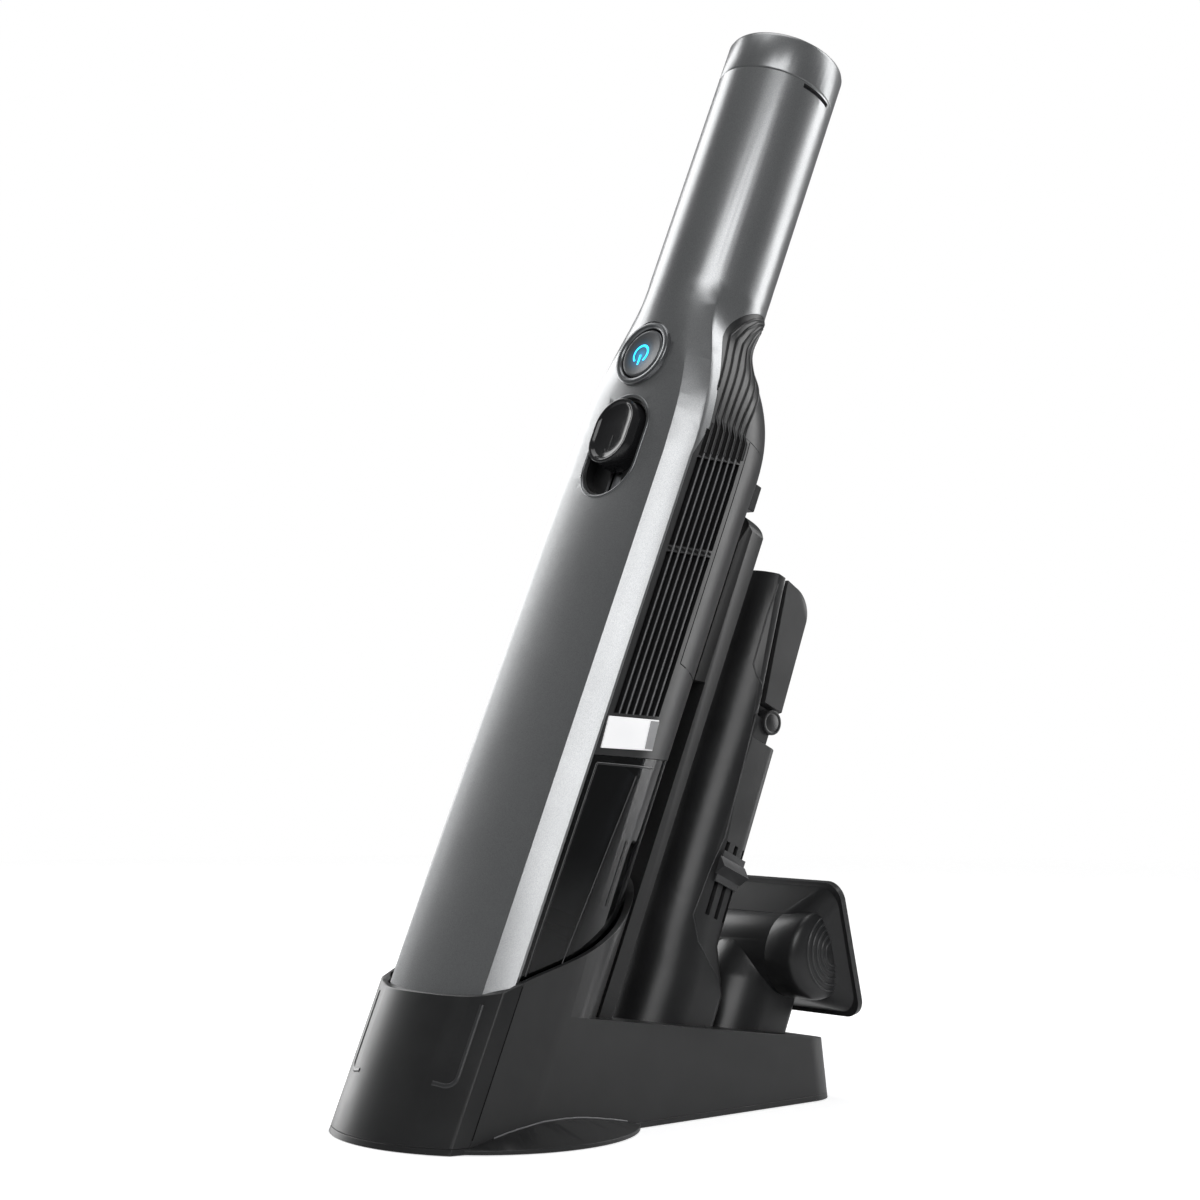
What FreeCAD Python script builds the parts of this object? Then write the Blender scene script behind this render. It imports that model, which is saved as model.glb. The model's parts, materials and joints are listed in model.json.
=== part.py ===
import FreeCAD, Part

# Slim cordless hand vacuum standing nozzle-down in its charging dock, with two stored tools.
# Row frame: millimetres, +Z up, floor at Z = 0, front of the dock towards -Y, mirror plane X = 0.
# The vacuum, the spine and the tools are drawn in a leaning frame: x across, y from the front
# cover towards the rear, z up along the vacuum's axis. LEAN carries that frame into the row.

import math
import os

import Sketcher
from FreeCAD import Placement, Rotation, Vector

DIMENSIONS = [
    ("lean_angle", 24.0, "lean of the vacuum's axis from vertical, degrees"),
    ("lean_origin_y", -77.7, "row Y of the leaning frame's origin"),
    ("lean_origin_z", 32.3, "row Z of the leaning frame's origin"),
    ("wall", 2.0, "moulded wall of the vacuum"),
    ("body_half_width", 31.7, "half width of the vacuum body and radius of its round back"),
    ("body_back_centre", 29.3, "centre of the round back, behind the front face"),
    ("front_corner_x", 25.2, "where the front face meets the chamfer"),
    ("front_corner_y", 2.5, "drop of the crowned front face at that corner"),
    ("shoulder_y", 9.5, "where the chamfer meets the side"),
    ("body_bottom", 2.0, "lower edge of the vacuum body along its axis"),
    ("neck_start", 226.0, "height at which the body starts to narrow"),
    ("neck_end", 300.0, "height at which the handle starts"),
    ("handle_radius", 22.8, "radius of the round handle"),
    ("handle_centre", 20.4, "handle axis, behind the front face"),
    ("handle_top", 390.0, "seam under the end cap"),
    ("cap_top", 407.5, "top of the end cap"),
    ("cover_edge", 10.5, "plane where the front cover meets the rear mouldings"),
    ("cup_top", 111.5, "top of the dust cup at its front edge; the line rises rearwards"),
    ("cup_bottom", 7.6, "bottom of the dust cup, on the door"),
    ("cup_wall", 1.8, "wall of the dust cup"),
    ("panel_edge", 36.0, "plane where the rear panel meets the side housing"),
    ("panel_bottom", 157.0, "lower edge of the rear panel"),
    ("panel_top", 246.0, "upper edge of the rear panel, under the finger grip"),
    ("power_height", 266.0, "power button centre along the axis"),
    ("power_radius", 9.8, "power button radius"),
    ("ring_radius", 13.0, "outside radius of the trim ring round the power button"),
    ("recess_radius", 13.0, "end radius of the slider recess"),
    ("recess_low", 221.0, "centre of the recess's lower round end"),
    ("recess_high", 235.0, "centre of the recess's upper round end"),
    ("knob_radius", 10.4, "end radius of the ejector knob"),
    ("rod_radius", 2.0, "ejector push rod radius"),
    ("motor_axis", 32.0, "motor axis, behind the front face"),
    ("motor_radius", 14.5, "motor can radius"),
    ("shaft_radius", 1.6, "motor shaft radius"),
    ("housing_radius", 20.8, "motor housing outside radius"),
    ("impeller_radius", 17.5, "impeller radius"),
    ("cell_radius", 9.0, "battery cell radius"),
    ("cell_length", 65.0, "battery cell length"),
    ("battery_radius", 20.5, "battery case radius"),
    ("nozzle_half_width", 15.6, "half width of the D-shaped nozzle and of the dock posts"),
    ("nozzle_depth", 27.8, "depth of the nozzle, front to back"),
    ("tool_half_width", 18.0, "half width of a tool's socket"),
    ("tool_depth", 32.5, "depth of a tool's socket"),
    ("tool_wall", 1.8, "moulded wall of the tools"),
    ("crevice_front", 85.0, "front of the crevice tool's socket in the leaning frame"),
    ("pet_front", 122.0, "front of the pet tool's socket in the leaning frame"),
    ("hinge_y", 101.0, "brush arm hinge, in the leaning frame"),
    ("hinge_z", 162.2, "brush arm hinge, along the axis"),
    ("hinge_radius", 4.7, "radius of the hinge bosses"),
    ("pin_radius", 1.5, "radius of the brush arm's pin"),
    ("arm_half_width", 12.3, "half width of the brush arm"),
    ("dock_wall", 2.4, "moulded wall of the dock"),
    ("dock_half_width", 34.6, "half width of the dock's base"),
    ("dock_rear", 100.0, "row Y of the dock's rear at the floor"),
    ("dock_corner", 15.0, "rear corner radius of the dock"),
    ("ledge_front", 38.8, "height of the ledge at its front end"),
    ("ledge_rear", 22.0, "height of the ledge at its rear end"),
    ("foot_radius", 52.3, "radius of the flared foot"),
    ("foot_centre", -43.0, "row Y of the flared foot's centre"),
    ("spine_half_width", 13.0, "half width of the dock's spine"),
    ("spine_front", 62.6, "front face of the spine in the leaning frame"),
    ("spine_back", 72.0, "back face of the spine"),
    ("spine_top", 233.0, "top of the spine along the axis"),
    ("spine_step", 163.0, "height at which the spine's wide head starts"),
    ("column_half_width", 13.5, "half width of the spine's column under its head"),
    ("column_front", 66.0, "front face of that column"),
    ("nozzle_front", 13.2, "front of the nozzle, behind the front face"),
    ("rod_axis", 7.2, "ejector push rod axis, behind the front face"),
    ("side_slope", 0.36, "rise of the sloping joint lines towards the rear, mm per mm"),
    ("slope_start", 12.0, "plane where the sloping joint lines start to rise"),
    ("pad_radius", 5.5, "radius of the rubber pads under the dock"),
]

NODES = []

doc = FreeCAD.newDocument("HandheldVacuum")
sheet = doc.addObject("Spreadsheet::Sheet", "Sheet")
for row, (alias, value, note) in enumerate(DIMENSIONS, start=1):
    sheet.set("A%d" % row, note)
    sheet.set("B%d" % row, str(value))
    sheet.setAlias("B%d" % row, alias)
doc.recompute()


def dim(alias):
    """Read one driving dimension from the sheet."""
    return float(sheet.get(alias))


def number(expression):
    """Work out an expression of sheet cells."""
    return float(sheet.evalExpression(expression))


LEAN = Placement(Vector(0, dim("lean_origin_y"), dim("lean_origin_z")),
                 Rotation(Vector(1, 0, 0), -dim("lean_angle")))
UPRIGHT = Placement()
ALONG_X = Rotation(Vector(0, 1, 0), 90)
ALONG_Y = Rotation(Vector(1, 0, 0), -90)
HALF = dim("body_half_width")
# Places of the rubber pads and of the screws on the base plate.
FEET = [(-36, -60), (36, -60), (-24, 80), (24, 80)]
BASE_SCREWS = [(-26, -24), (26, -24), (-26, 40), (26, 40)]
FAR = 400.0


# ---------------------------------------------------------------- document helpers

def node(label, piece, frame=LEAN):
    """Name a finished sub-part, carry it into the row and list it for export."""
    piece.Label = label
    piece.Placement = frame.multiply(piece.Placement)
    NODES.append(piece)
    return piece


def primitive(kind, name, at, sizes, turn=Rotation()):
    """A Part primitive whose sizes are bound to the sheet."""
    piece = doc.addObject("Part::" + kind, name)
    for size, expression in sizes.items():
        piece.setExpression(size, expression)
    piece.Placement = Placement(Vector(*at), turn)
    return piece


def cylinder(name, at, radius, height, turn=Rotation()):
    return primitive("Cylinder", name, at, {"Radius": radius, "Height": height}, turn)


def block(name, centre, length, width, height):
    """A box about a centre, its three sizes given as sheet expressions."""
    sizes = {"Length": length, "Width": width, "Height": height}
    half = [number(expression) / 2 for expression in (length, width, height)]
    corner = [place - part for place, part in zip(centre, half)]
    return primitive("Box", name, corner, sizes)


def cut(name, base, tool):
    piece = doc.addObject("Part::Cut", name)
    piece.Base, piece.Tool = base, tool
    return piece


def joined(name, pieces, kind="MultiFuse"):
    piece = doc.addObject("Part::" + kind, name)
    piece.Shapes = pieces
    return piece


def group(name, pieces):
    """Separate identical solids kept together as one sub-part."""
    piece = doc.addObject("Part::Compound", name)
    piece.Links = pieces
    return piece


def solid(name, shape):
    """A sub-part or tool whose free-form shape is worked out with Part's own functions."""
    piece = doc.addObject("Part::Feature", name)
    piece.Shape = shape
    return piece


def origin_plane(body, role):
    return next(item for item in body.Origin.OriginFeatures if item.Role == role)


def new_sketch(body, name, role):
    sketch = body.newObject("Sketcher::SketchObject", name)
    sketch.AttachmentSupport = (origin_plane(body, role), [""])
    sketch.MapMode = "FlatFace"
    return sketch


def circle_sketch(body, name, radius, centre=(0, 0)):
    """A circle in the body's XY plane, its radius and centre bound as constraints."""
    sketch = new_sketch(body, name, "XY_Plane")
    sketch.addGeometry(Part.Circle(Vector(centre[0], centre[1], 0), Vector(0, 0, 1),
                                   number(radius)))
    sketch.addConstraint(Sketcher.Constraint("Radius", 0, number(radius)))
    sketch.setExpression("Constraints[0]", radius)
    return sketch


def outline_sketch(body, name, role, points):
    """A closed outline of straight lines between the given points."""
    sketch = new_sketch(body, name, role)
    count = len(points)
    for index in range(count):
        start, end = points[index], points[(index + 1) % count]
        sketch.addGeometry(Part.LineSegment(Vector(start[0], start[1], 0),
                                            Vector(end[0], end[1], 0)))
    for index in range(count):
        sketch.addConstraint(Sketcher.Constraint("Coincident", index, 2, (index + 1) % count, 1))
    return sketch


def pad(body, name, sketch, length):
    feature = body.newObject("PartDesign::Pad", name)
    feature.Profile = sketch
    feature.setExpression("Length", length)
    body.Tip = feature
    return feature


def revolved(name, points):
    """A turned part: an outline in the XZ plane turned about Z."""
    body = doc.addObject("PartDesign::Body", name)
    sketch = outline_sketch(body, name + "Outline", "XZ_Plane", points)
    feature = body.newObject("PartDesign::Revolution", name + "Turn")
    feature.Profile = sketch
    feature.ReferenceAxis = (sketch, ["V_Axis"])
    feature.Angle = 360.0
    body.Tip = feature
    return body


# ---------------------------------------------------------------- shape helpers

def face_of(points, arcs=()):
    """A planar face: consecutive points joined by lines, or by an arc where a point is listed
    in arcs as the middle point of one."""
    edges = []
    count = len(points)
    index = 0
    while index < count:
        start, after = points[index], points[(index + 1) % count]
        if (index + 1) % count in arcs:
            end = points[(index + 2) % count]
            edges.append(Part.Arc(start, after, end).toShape())
            index += 2
        else:
            edges.append(Part.LineSegment(start, after).toShape())
            index += 1
    return Part.Face(Part.Wire(edges))


def side_prism(outline, half_width, arcs=()):
    """An outline in the y-z plane, run through the mirror plane to both sides."""
    points = [Vector(-half_width, y, z) for y, z in outline]
    return face_of(points, arcs).extrude(Vector(2 * half_width, 0, 0))


def slab(low, high):
    """A box between two corners, as a tool for cutting."""
    size = [b - a for a, b in zip(low, high)]
    return Part.makeBox(size[0], size[1], size[2], Vector(*low))


def stadium(low, high, radius, front, back):
    """An upright oblong with round ends, run from front to back."""
    mid = (low + high) / 2
    outline = [Vector(-radius, front, high), Vector(0, front, high + radius),
               Vector(radius, front, high), Vector(radius, front, low),
               Vector(0, front, low - radius), Vector(-radius, front, low)]
    shape = face_of(outline, arcs=(1, 4)).extrude(Vector(0, back - front, 0))
    assert shape.isInside(Vector(0, (front + back) / 2, mid), 0.01, False)
    return shape


def body_wire(height, inset, section):
    """The vacuum's outline at one height: crowned front, chamfers, sides and round back."""
    corner_x, corner_y, shoulder_x, shoulder_y, centre, radius, crown = section
    back = radius - inset
    middle = dim("handle_centre")
    if height == dim("neck_end"):
        corner, shoulder, beside = [
            (part * back, middle - math.sqrt(1 - part ** 2) * back)
            for part in (corner_x / radius, shoulder_x / radius, 0.97)]
        between = (0.745 * back, middle - math.sqrt(1 - 0.745 ** 2) * back)
    else:
        mitre = 0.41 * inset
        corner = (corner_x - mitre, corner_y + inset)
        shoulder = (shoulder_x - inset, shoulder_y + mitre)
        between = beside = None

    def edge(side, first, last, through):
        """A straight edge, or an arc on the round handle, on one side of the outline."""
        ends = [Vector(side * x, y, height) for x, y in (first, last)]
        if through:
            return Part.Arc(ends[0], Vector(side * through[0], through[1], height),
                            ends[1]).toShape()
        return Part.LineSegment(*ends).toShape()

    rear = (back, centre)
    return Part.Wire([
        Part.Arc(Vector(-corner[0], corner[1], height), Vector(0, crown + inset, height),
                 Vector(corner[0], corner[1], height)).toShape(),
        edge(1, corner, shoulder, between),
        edge(1, shoulder, rear, beside),
        Part.Arc(Vector(back, centre, height), Vector(0, centre + back, height),
                 Vector(-back, centre, height)).toShape(),
        edge(-1, rear, shoulder, beside),
        edge(-1, shoulder, corner, between),
    ])


def straight_section():
    return (dim("front_corner_x"), dim("front_corner_y"), HALF, dim("shoulder_y"),
            dim("body_back_centre"), HALF, 0.0)


def neck_sections():
    """Outlines from the body up to the handle: corner, shoulder, back centre, radius, crown."""
    radius, centre = dim("handle_radius"), dim("handle_centre")

    def on_handle(x):
        return centre - math.sqrt(radius ** 2 - x ** 2)

    return [
        (dim("neck_start"), straight_section()),
        (247.0, (23.9, 2.4, 30.9, 9.5, 30.5, 30.6, -0.2)),
        (260.0, (21.6, 2.2, 28.6, 9.2, 29.6, 28.3, -0.7)),
        (271.0, (18.7, 2.2, 25.4, 8.8, 26.2, 25.0, -1.3)),
        (281.0, (16.4, 2.6, 21.8, 8.4, 21.4, 22.3, -1.9)),
        (290.0, (15.1, 3.1, 19.6, 8.6, 20.2, 22.2, -2.3)),
        (dim("neck_end"), (15.1, on_handle(15.1), 19.4, on_handle(19.4), centre, radius,
                           centre - radius)),
    ]


def body_prism(low, high, inset):
    """A straight run of the vacuum body's outline."""
    wire = body_wire(low, inset, straight_section())
    return Part.Face(wire).extrude(Vector(0, 0, high - low))


def vacuum_solid(inset, low, high):
    """The vacuum's whole outer form, or the space inside its wall."""
    start, end = dim("neck_start"), dim("neck_end")
    wires = [body_wire(height, inset, section) for height, section in neck_sections()]
    neck = Part.makeLoft(wires, True, False)
    faces = sorted(neck.Faces, key=lambda face: face.CenterOfMass.z)
    body = faces[0].extrude(Vector(0, 0, low - start))
    handle = faces[-1].extrude(Vector(0, 0, high - end))
    return body.fuse([neck, handle])


def d_wire(height, half_width, front, shoulder, rear, corner, inset=0.0):
    """A D-shaped outline: a round front between two sides and a flat back."""
    side = half_width - inset
    back = rear - inset
    turn = max(corner - inset, 0.4)
    slope = turn * (1 - math.sqrt(0.5))

    def at(x, y):
        return Vector(x, y, height)

    return Part.Wire([
        Part.Arc(at(-side, shoulder), at(0, front + inset), at(side, shoulder)).toShape(),
        Part.LineSegment(at(side, shoulder), at(side, back - turn)).toShape(),
        Part.Arc(at(side, back - turn), at(side - slope, back - slope),
                 at(side - turn, back)).toShape(),
        Part.LineSegment(at(side - turn, back), at(turn - side, back)).toShape(),
        Part.Arc(at(turn - side, back), at(slope - side, back - slope),
                 at(-side, back - turn)).toShape(),
        Part.LineSegment(at(-side, back - turn), at(-side, shoulder)).toShape(),
    ])


def d_prism(low, high, half_width, front, depth, corner, inset=0.0):
    """A straight D-shaped bar; the tools' sockets, the nozzle and the posts share this shape."""
    wire = d_wire(low, half_width, front, front + half_width, front + depth, corner, inset)
    return Part.Face(wire).extrude(Vector(0, 0, high - low))


def d_loft(sections, inset=0.0):
    wires = [d_wire(*section, inset=inset) for section in sections]
    return Part.makeLoft(wires, True, True)


# ---------------------------------------------------------------- vacuum casing

def cover_outline(high):
    """Side view of everything that belongs to the front cover."""
    edge = dim("cover_edge")
    return [(-20, -20), (edge, -20), (edge, 228), (14.3, 241), (14.3, 279), (19.6, 290.0),
            (37, 298.6), (60, 299.4), (60, high), (-20, high)]


def vacuum_casing():
    """Front cover with the handle, side housing, rear panel, finger grip and handle strip."""
    low, top = dim("body_bottom"), dim("handle_top")
    shell = vacuum_solid(0.0, low, top).cut(vacuum_solid(dim("wall"), low - 5, top + 5))
    front_space = side_prism(cover_outline(top + 10), 60, arcs=(5,))
    strip_space = slab((-7, 40, 313), (7, 60, top + 1))
    latch_slot = slab((14.0, 14.0, top - 2.5), (30, 28.5, top - 0.7))
    power_hole = Part.makeCylinder(dim("ring_radius"), 24, Vector(0, -10, dim("power_height")),
                                   Vector(0, 1, 0))
    recess = stadium(dim("recess_low"), dim("recess_high"), dim("recess_radius"), -10, 10)

    cover = shell.common(front_space)
    strip = cover.common(strip_space)
    cover = cover.cut([strip_space, latch_slot, power_hole, recess])
    node("front_cover", solid("FrontCover", cover))
    node("handle_back_strip", solid("HandleBackStrip", strip))

    rear = shell.cut(front_space)
    panel_low, panel_high = dim("panel_bottom"), dim("panel_top")
    release_hole = slab((-8.4, 50, 234), (8.4, 75, 245.4))
    panel_space = slab((-60, dim("panel_edge"), panel_low), (60, 90, panel_high))
    grip_space = slab((-60, -20, panel_high), (60, 90, 310))
    body_space = slab((-60, -20, 90), (60, 90, panel_high)).common(above_cup(0.2))
    housing = rear.common(body_space).cut(panel_space)
    housing = housing.cut(vent_slots())
    node("side_housing", solid("SideHousing", housing))
    node("rear_panel", solid("RearPanel", rear.common(panel_space).cut(release_hole)))
    node("finger_grip", solid("FingerGrip", rear.common(grip_space)))


def slanted(height, y):
    """Height at depth y of a side line that is level while the vacuum leans in its dock."""
    return height + dim("side_slope") * (y - dim("slope_start"))


def above_cup(gap):
    """Everything above the slanted line where the dust cup meets the side housing."""
    base = dim("cup_top") + gap
    return side_prism([(-20, slanted(base, -20)), (90, slanted(base, 90)), (90, FAR), (-20, FAR)],
                      60)


def vent_slots():
    """Two rows of upright exhaust slots through both side walls, in slanted ranks."""
    slots = []
    for low, high in ((127.5, 190), (192.5, 227.5)):
        for column in range(7):
            start = 13.0 + 3.1 * column
            end = start + 2.1
            outline = [(start, slanted(low, start)), (end, slanted(low, end)),
                       (end, slanted(high, end)), (start, slanted(high, start))]
            slots.append(side_prism(outline, 40))
    return slots


def vent_screens():
    """Dark backing screens behind the exhaust slots."""
    inner = HALF - dim("wall")
    screens = []
    for side in (-1, 1):
        low = min(side * (inner - 2.1), side * (inner - 1.4))
        screens.append(slab((low, 12.0, 124.0), (low + 0.7, 35.0, 243.0)))
    node("vent_screens", solid("VentScreens", Part.makeCompound(screens)))


def badges():
    """A blank slanted badge on each side of the housing."""
    outline = [(11.3, 126.0), (33.6, slanted(126.2, 33.6)), (34.8, slanted(114.6, 34.8)),
               (12.3, 114.4)]
    plates = []
    for side in (-1, 1):
        near = side * HALF
        face = face_of([Vector(near, y, z) for y, z in outline])
        plates.append(face.extrude(Vector(side * 0.8, 0, 0)))
    node("badge", solid("Badge", Part.makeCompound(plates)))


def housing_screws():
    """Four self-tapping screws that hold the side housing to the motor housing."""
    screws = []
    for index, (side, height) in enumerate([(-1, 150), (1, 150), (-1, 208), (1, 208)]):
        at = (side * 24.6, 14.5, height)
        head = cylinder("HousingScrewHead%d" % index, at, "2.4", "1.4", ALONG_Y)
        shank = cylinder("HousingScrewShank%d" % index, at, "1.2", "9.0", ALONG_Y)
        screws.append(joined("HousingScrew%d" % index, [head, shank]))
    node("housing_screws", group("HousingScrews", screws))


# ---------------------------------------------------------------- controls

def power_control():
    """Trim ring, press button and the switch behind it."""
    height = dim("power_height")
    outer = cylinder("RingOuter", (0, -1.8, height), "Sheet.ring_radius - 0.02", "5.2", ALONG_Y)
    inner = cylinder("RingInner", (0, -4, height), "Sheet.power_radius + 0.35", "12", ALONG_Y)
    node("power_button_ring", cut("PowerButtonRing", outer, inner))

    cap = cylinder("ButtonCap", (0, -1.3, height), "Sheet.power_radius", "5.4", ALONG_Y)
    flange = cylinder("ButtonFlange", (0, 4.1, height), "Sheet.power_radius + 1.4", "1.2", ALONG_Y)
    stem = cylinder("ButtonStem", (0, 5.2, height), "2.2", "4.6", ALONG_Y)
    node("power_button", joined("PowerButton", [cap, flange, stem]))

    switch = block("PowerSwitch", (0, 12.35, height), "6.2", "2.5", "6.2")
    node("power_switch", switch)


def ejector_control():
    """Recessed tray, sliding knob, push rod and return spring of the dirt ejector."""
    low, high = dim("recess_low"), dim("recess_high")
    radius = dim("recess_radius") - 0.02
    tray = stadium(low, high, radius, 1.4, 6.9)
    hollow = stadium(low, high, radius - 1.0, 0.0, 5.7)
    slot = slab((-3.2, 0, low - 9.5), (3.2, 12, high + 4.0))
    node("slider_tray", solid("SliderTray", tray.cut([hollow, slot])))

    knob_low, knob_high = high - 5.0, high + 0.8
    knob_radius = dim("knob_radius")
    knob = stadium(knob_low, knob_high, knob_radius, -3.4, 5.4)
    dish = Part.makeSphere(22, Vector(0, -23.2, knob_low + 2.5))
    stem = slab((-2.6, 5.0, 222.0), (2.6, 9.6, 233.0))
    node("ejector_knob", solid("EjectorKnob", knob.cut(dish).fuse(stem).removeSplitter()))

    rod = cylinder("RodBar", (0, dim("rod_axis"), 24.0), "Sheet.rod_radius", "182")
    collar = cylinder("RodCollar", (0, dim("rod_axis"), 196.0), "3.0", "3.0")
    fork = block("RodHead", (0, 8.4, 212.5), "5.2", "2.4", "19")
    node("ejector_push_rod", joined("EjectorPushRod", [rod, collar, fork]))

    turns = Part.makeHelix(3.0, 30.0, 2.75)
    wire_start = Part.Wire(Part.makeCircle(0.35, Vector(2.75, 0, 0), Vector(0, 1, 0)))
    coil = Part.Wire(turns.Edges).makePipeShell([wire_start], True, True)
    coil.translate(Vector(0, dim("rod_axis"), 165.4))
    node("ejector_spring", solid("EjectorSpring", coil))

    seat = cylinder("SpringSeatBlock", (0, dim("rod_axis"), 160.0), "3.3", "4.4")
    bore = cylinder("SpringSeatBore", (0, dim("rod_axis"), 158.0), "Sheet.rod_radius + 0.3", "10")
    node("rod_guide", cut("RodGuide", seat, bore))


def cup_release():
    """The rear button that frees the dust cup."""
    cap = block("ReleaseCap", (0, 63.2, 239.7), "16", "9.6", "10.6")
    flange = block("ReleaseFlange", (0, 56.2, 239.7), "19", "1.2", "12")
    stem = block("ReleaseStem", (0, 57.7, 239.7), "12", "3.0", "8")
    node("cup_release_button", joined("CupReleaseButton", [cap, flange, stem]))


# ---------------------------------------------------------------- dust cup and inlet

def dust_cup():
    low, high, edge = dim("cup_bottom"), 140.0, dim("cover_edge")
    wall = dim("cup_wall")
    behind = slab((-60, edge, low - 2), (60, 90, high + 2))
    inside = slab((-60, edge + wall, low - 4), (60, 90, high + 4))
    outer = body_prism(low, high, 0.0).common(behind).cut(above_cup(0.0))
    inner = body_prism(low - 3, high + 3, wall).common(inside)
    node("dust_cup", solid("DustCup", outer.cut(inner)))


def nozzle_shape(low, high, inset):
    return d_prism(low, high, dim("nozzle_half_width"), dim("nozzle_front"), dim("nozzle_depth"),
                   3.0, inset)


def cup_door():
    """Bottom door with the nozzle, its hinge pin, latch, seal and the inlet flap."""
    low, high = dim("body_bottom"), dim("cup_bottom")
    behind = slab((-60, dim("cover_edge"), low - 1), (60, 90, high + 1))
    plate = body_prism(low, high - 0.8, 0.0).common(behind)
    plate = plate.fuse(body_prism(low, high - 0.8, dim("wall") + 0.2))
    nozzle = nozzle_shape(-11.0, low + 1.0, 0.0)
    pin_at = Vector(-12, 58.2, 4.6)
    pin_hole = Part.makeCylinder(1.25, 24, pin_at, Vector(1, 0, 0))
    rod_path = Part.makeCylinder(3.0, 20, Vector(0, dim("rod_axis"), -5))
    pad_holes = [Part.makeCylinder(3.0, 1.2, Vector(side * 10.0, 50.0, low - 0.2))
                 for side in (-1, 1)]
    door = plate.fuse(nozzle)
    door = door.cut([nozzle_shape(-15, high + 5, 2.0), pin_hole, rod_path] + pad_holes)
    node("dust_door", solid("DustDoor", door.removeSplitter()))
    node("door_hinge_pin", cylinder("DoorHingePin", tuple(pin_at), "1.2", "24", ALONG_X))

    ring = body_prism(high - 0.8, high, dim("cup_wall") + 0.2)
    ring = ring.common(slab((-60, dim("cover_edge") + dim("cup_wall"), 0), (60, 90, 20)))
    hole = body_prism(0, 20, dim("cup_wall") + 2.4)
    hole = hole.common(slab((-60, dim("cover_edge") + dim("cup_wall") + 2.2, 0), (60, 90, 20)))
    node("door_seal", solid("DoorSeal", ring.cut(hole)))

    latch = slab((-5, 3.0, 8.2), (5, 10.2, 20.0))
    latch = latch.cut(Part.makeCylinder(2.4, 30, Vector(0, dim("rod_axis"), 0)))
    node("door_latch", solid("DoorLatch", latch))

    pads = [cylinder("ChargePad%d" % index, (side * 10.0, 50.0, dim("body_bottom")),
                     "2.9", "0.9") for index, side in enumerate((-1, 1))]
    node("charge_pads", group("ChargePads", pads))

    duct = nozzle_shape(high, 52.0, 0.6).cut(nozzle_shape(0, 60, 2.0))
    duct = duct.cut(slab((-60, 0, 0), (60, 13.0, 90)))
    node("inlet_duct", solid("InletDuct", duct))
    flap = nozzle_shape(52.4, 53.6, 0.8)
    node("inlet_flap", solid("InletFlap", flap))


def filters():
    """Mesh basket inside the cup and the washable filter above it."""
    axis = dim("motor_axis") + 4.0
    basket = Part.makeCone(15.0, 18.0, 56.0, Vector(0, axis, 61.0))
    basket = basket.cut(Part.makeCone(13.6, 16.6, 58.0, Vector(0, axis, 62.4)))
    node("filter_basket", solid("FilterBasket", basket))

    centre = dim("motor_axis")
    frame = cylinder("FilterFrameBlock", (0, centre, 118.0), "22.0", "3.0")
    window = cylinder("FilterFrameHole", (0, centre, 116.0), "15.5", "8")
    node("filter_frame", cut("FilterFrame", frame, window))
    node("washable_filter", cylinder("WashableFilter", (0, centre, 121.1), "21.0", "17.0"))


# ---------------------------------------------------------------- motor

def motor_unit():
    axis = dim("motor_axis")
    outer = cylinder("HousingOuter", (0, axis, 139.0), "Sheet.housing_radius", "62")
    inner = cylinder("HousingInner", (0, axis, 141.0), "Sheet.housing_radius - 1.6", "70")
    eye = cylinder("HousingEye", (0, axis, 130.0), "9.0", "20")
    shell = cut("HousingShell", outer, inner)
    node("motor_housing", cut("MotorHousing", shell, eye))

    can = cylinder("CanBody", (0, axis, 166.0), "Sheet.motor_radius", "32")
    bore = cylinder("CanBore", (0, axis, 160.0), "Sheet.shaft_radius + 0.06", "50")
    node("motor_can", cut("MotorCan", can, bore))

    ring = cylinder("MountOuter", (0, axis, 170.0), "Sheet.housing_radius - 1.65", "7")
    hole = cylinder("MountInner", (0, axis, 168.0), "Sheet.motor_radius + 0.02", "12")
    node("motor_mount", cut("MotorMount", ring, hole))

    node("motor_shaft", cylinder("MotorShaft", (0, axis, 146.0), "Sheet.shaft_radius", "56"))
    impeller()


def impeller():
    """Back plate, hub and nine swept blades, bored for the shaft."""
    radius, axis = dim("impeller_radius"), dim("motor_axis")
    body = doc.addObject("PartDesign::Body", "Impeller")
    disc = circle_sketch(body, "ImpellerDisc", "Sheet.impeller_radius")
    pad(body, "ImpellerPlate", disc, "1.6")
    blade = outline_sketch(body, "ImpellerBlade", "XY_Plane",
                           [(4.0, -0.6), (radius - 0.6, -4.6), (radius - 0.6, -3.3), (4.0, 0.7)])
    raised = pad(body, "ImpellerBladePad", blade, "9.0")
    turns = body.newObject("PartDesign::PolarPattern", "ImpellerBlades")
    turns.Originals = [raised]
    turns.Axis = (disc, ["N_Axis"])
    turns.Angle = 360.0
    turns.Occurrences = 9
    body.Tip = turns
    hub = circle_sketch(body, "ImpellerHub", "5.0")
    pad(body, "ImpellerHubPad", hub, "8.0")
    bore = circle_sketch(body, "ImpellerBore", "Sheet.shaft_radius")
    pocket = body.newObject("PartDesign::Pocket", "ImpellerBorePocket")
    pocket.Profile = bore
    pocket.Type = 1
    pocket.Midplane = True
    body.Tip = pocket
    body.Placement = Placement(Vector(0, axis, 158.0), Rotation(Vector(1, 0, 0), 180))
    node("impeller", body)


# ---------------------------------------------------------------- electronics and battery

def electronics():
    board = block("ControlBoard", (0, 14.4, 246.0), "30", "1.6", "72")
    node("control_board", board)
    terminal = block("TerminalBlock", (0, dim("handle_centre"), 295.5), "22", "14", "5")
    node("battery_terminal_block", terminal)
    blades = [block("TerminalBlade%d" % index, (side * 7.0, dim("handle_centre"), 299.6),
                    "1.0", "6.0", "3.2") for index, side in enumerate((-1, 0, 1))]
    node("battery_terminals", group("BatteryTerminals", blades))


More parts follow.
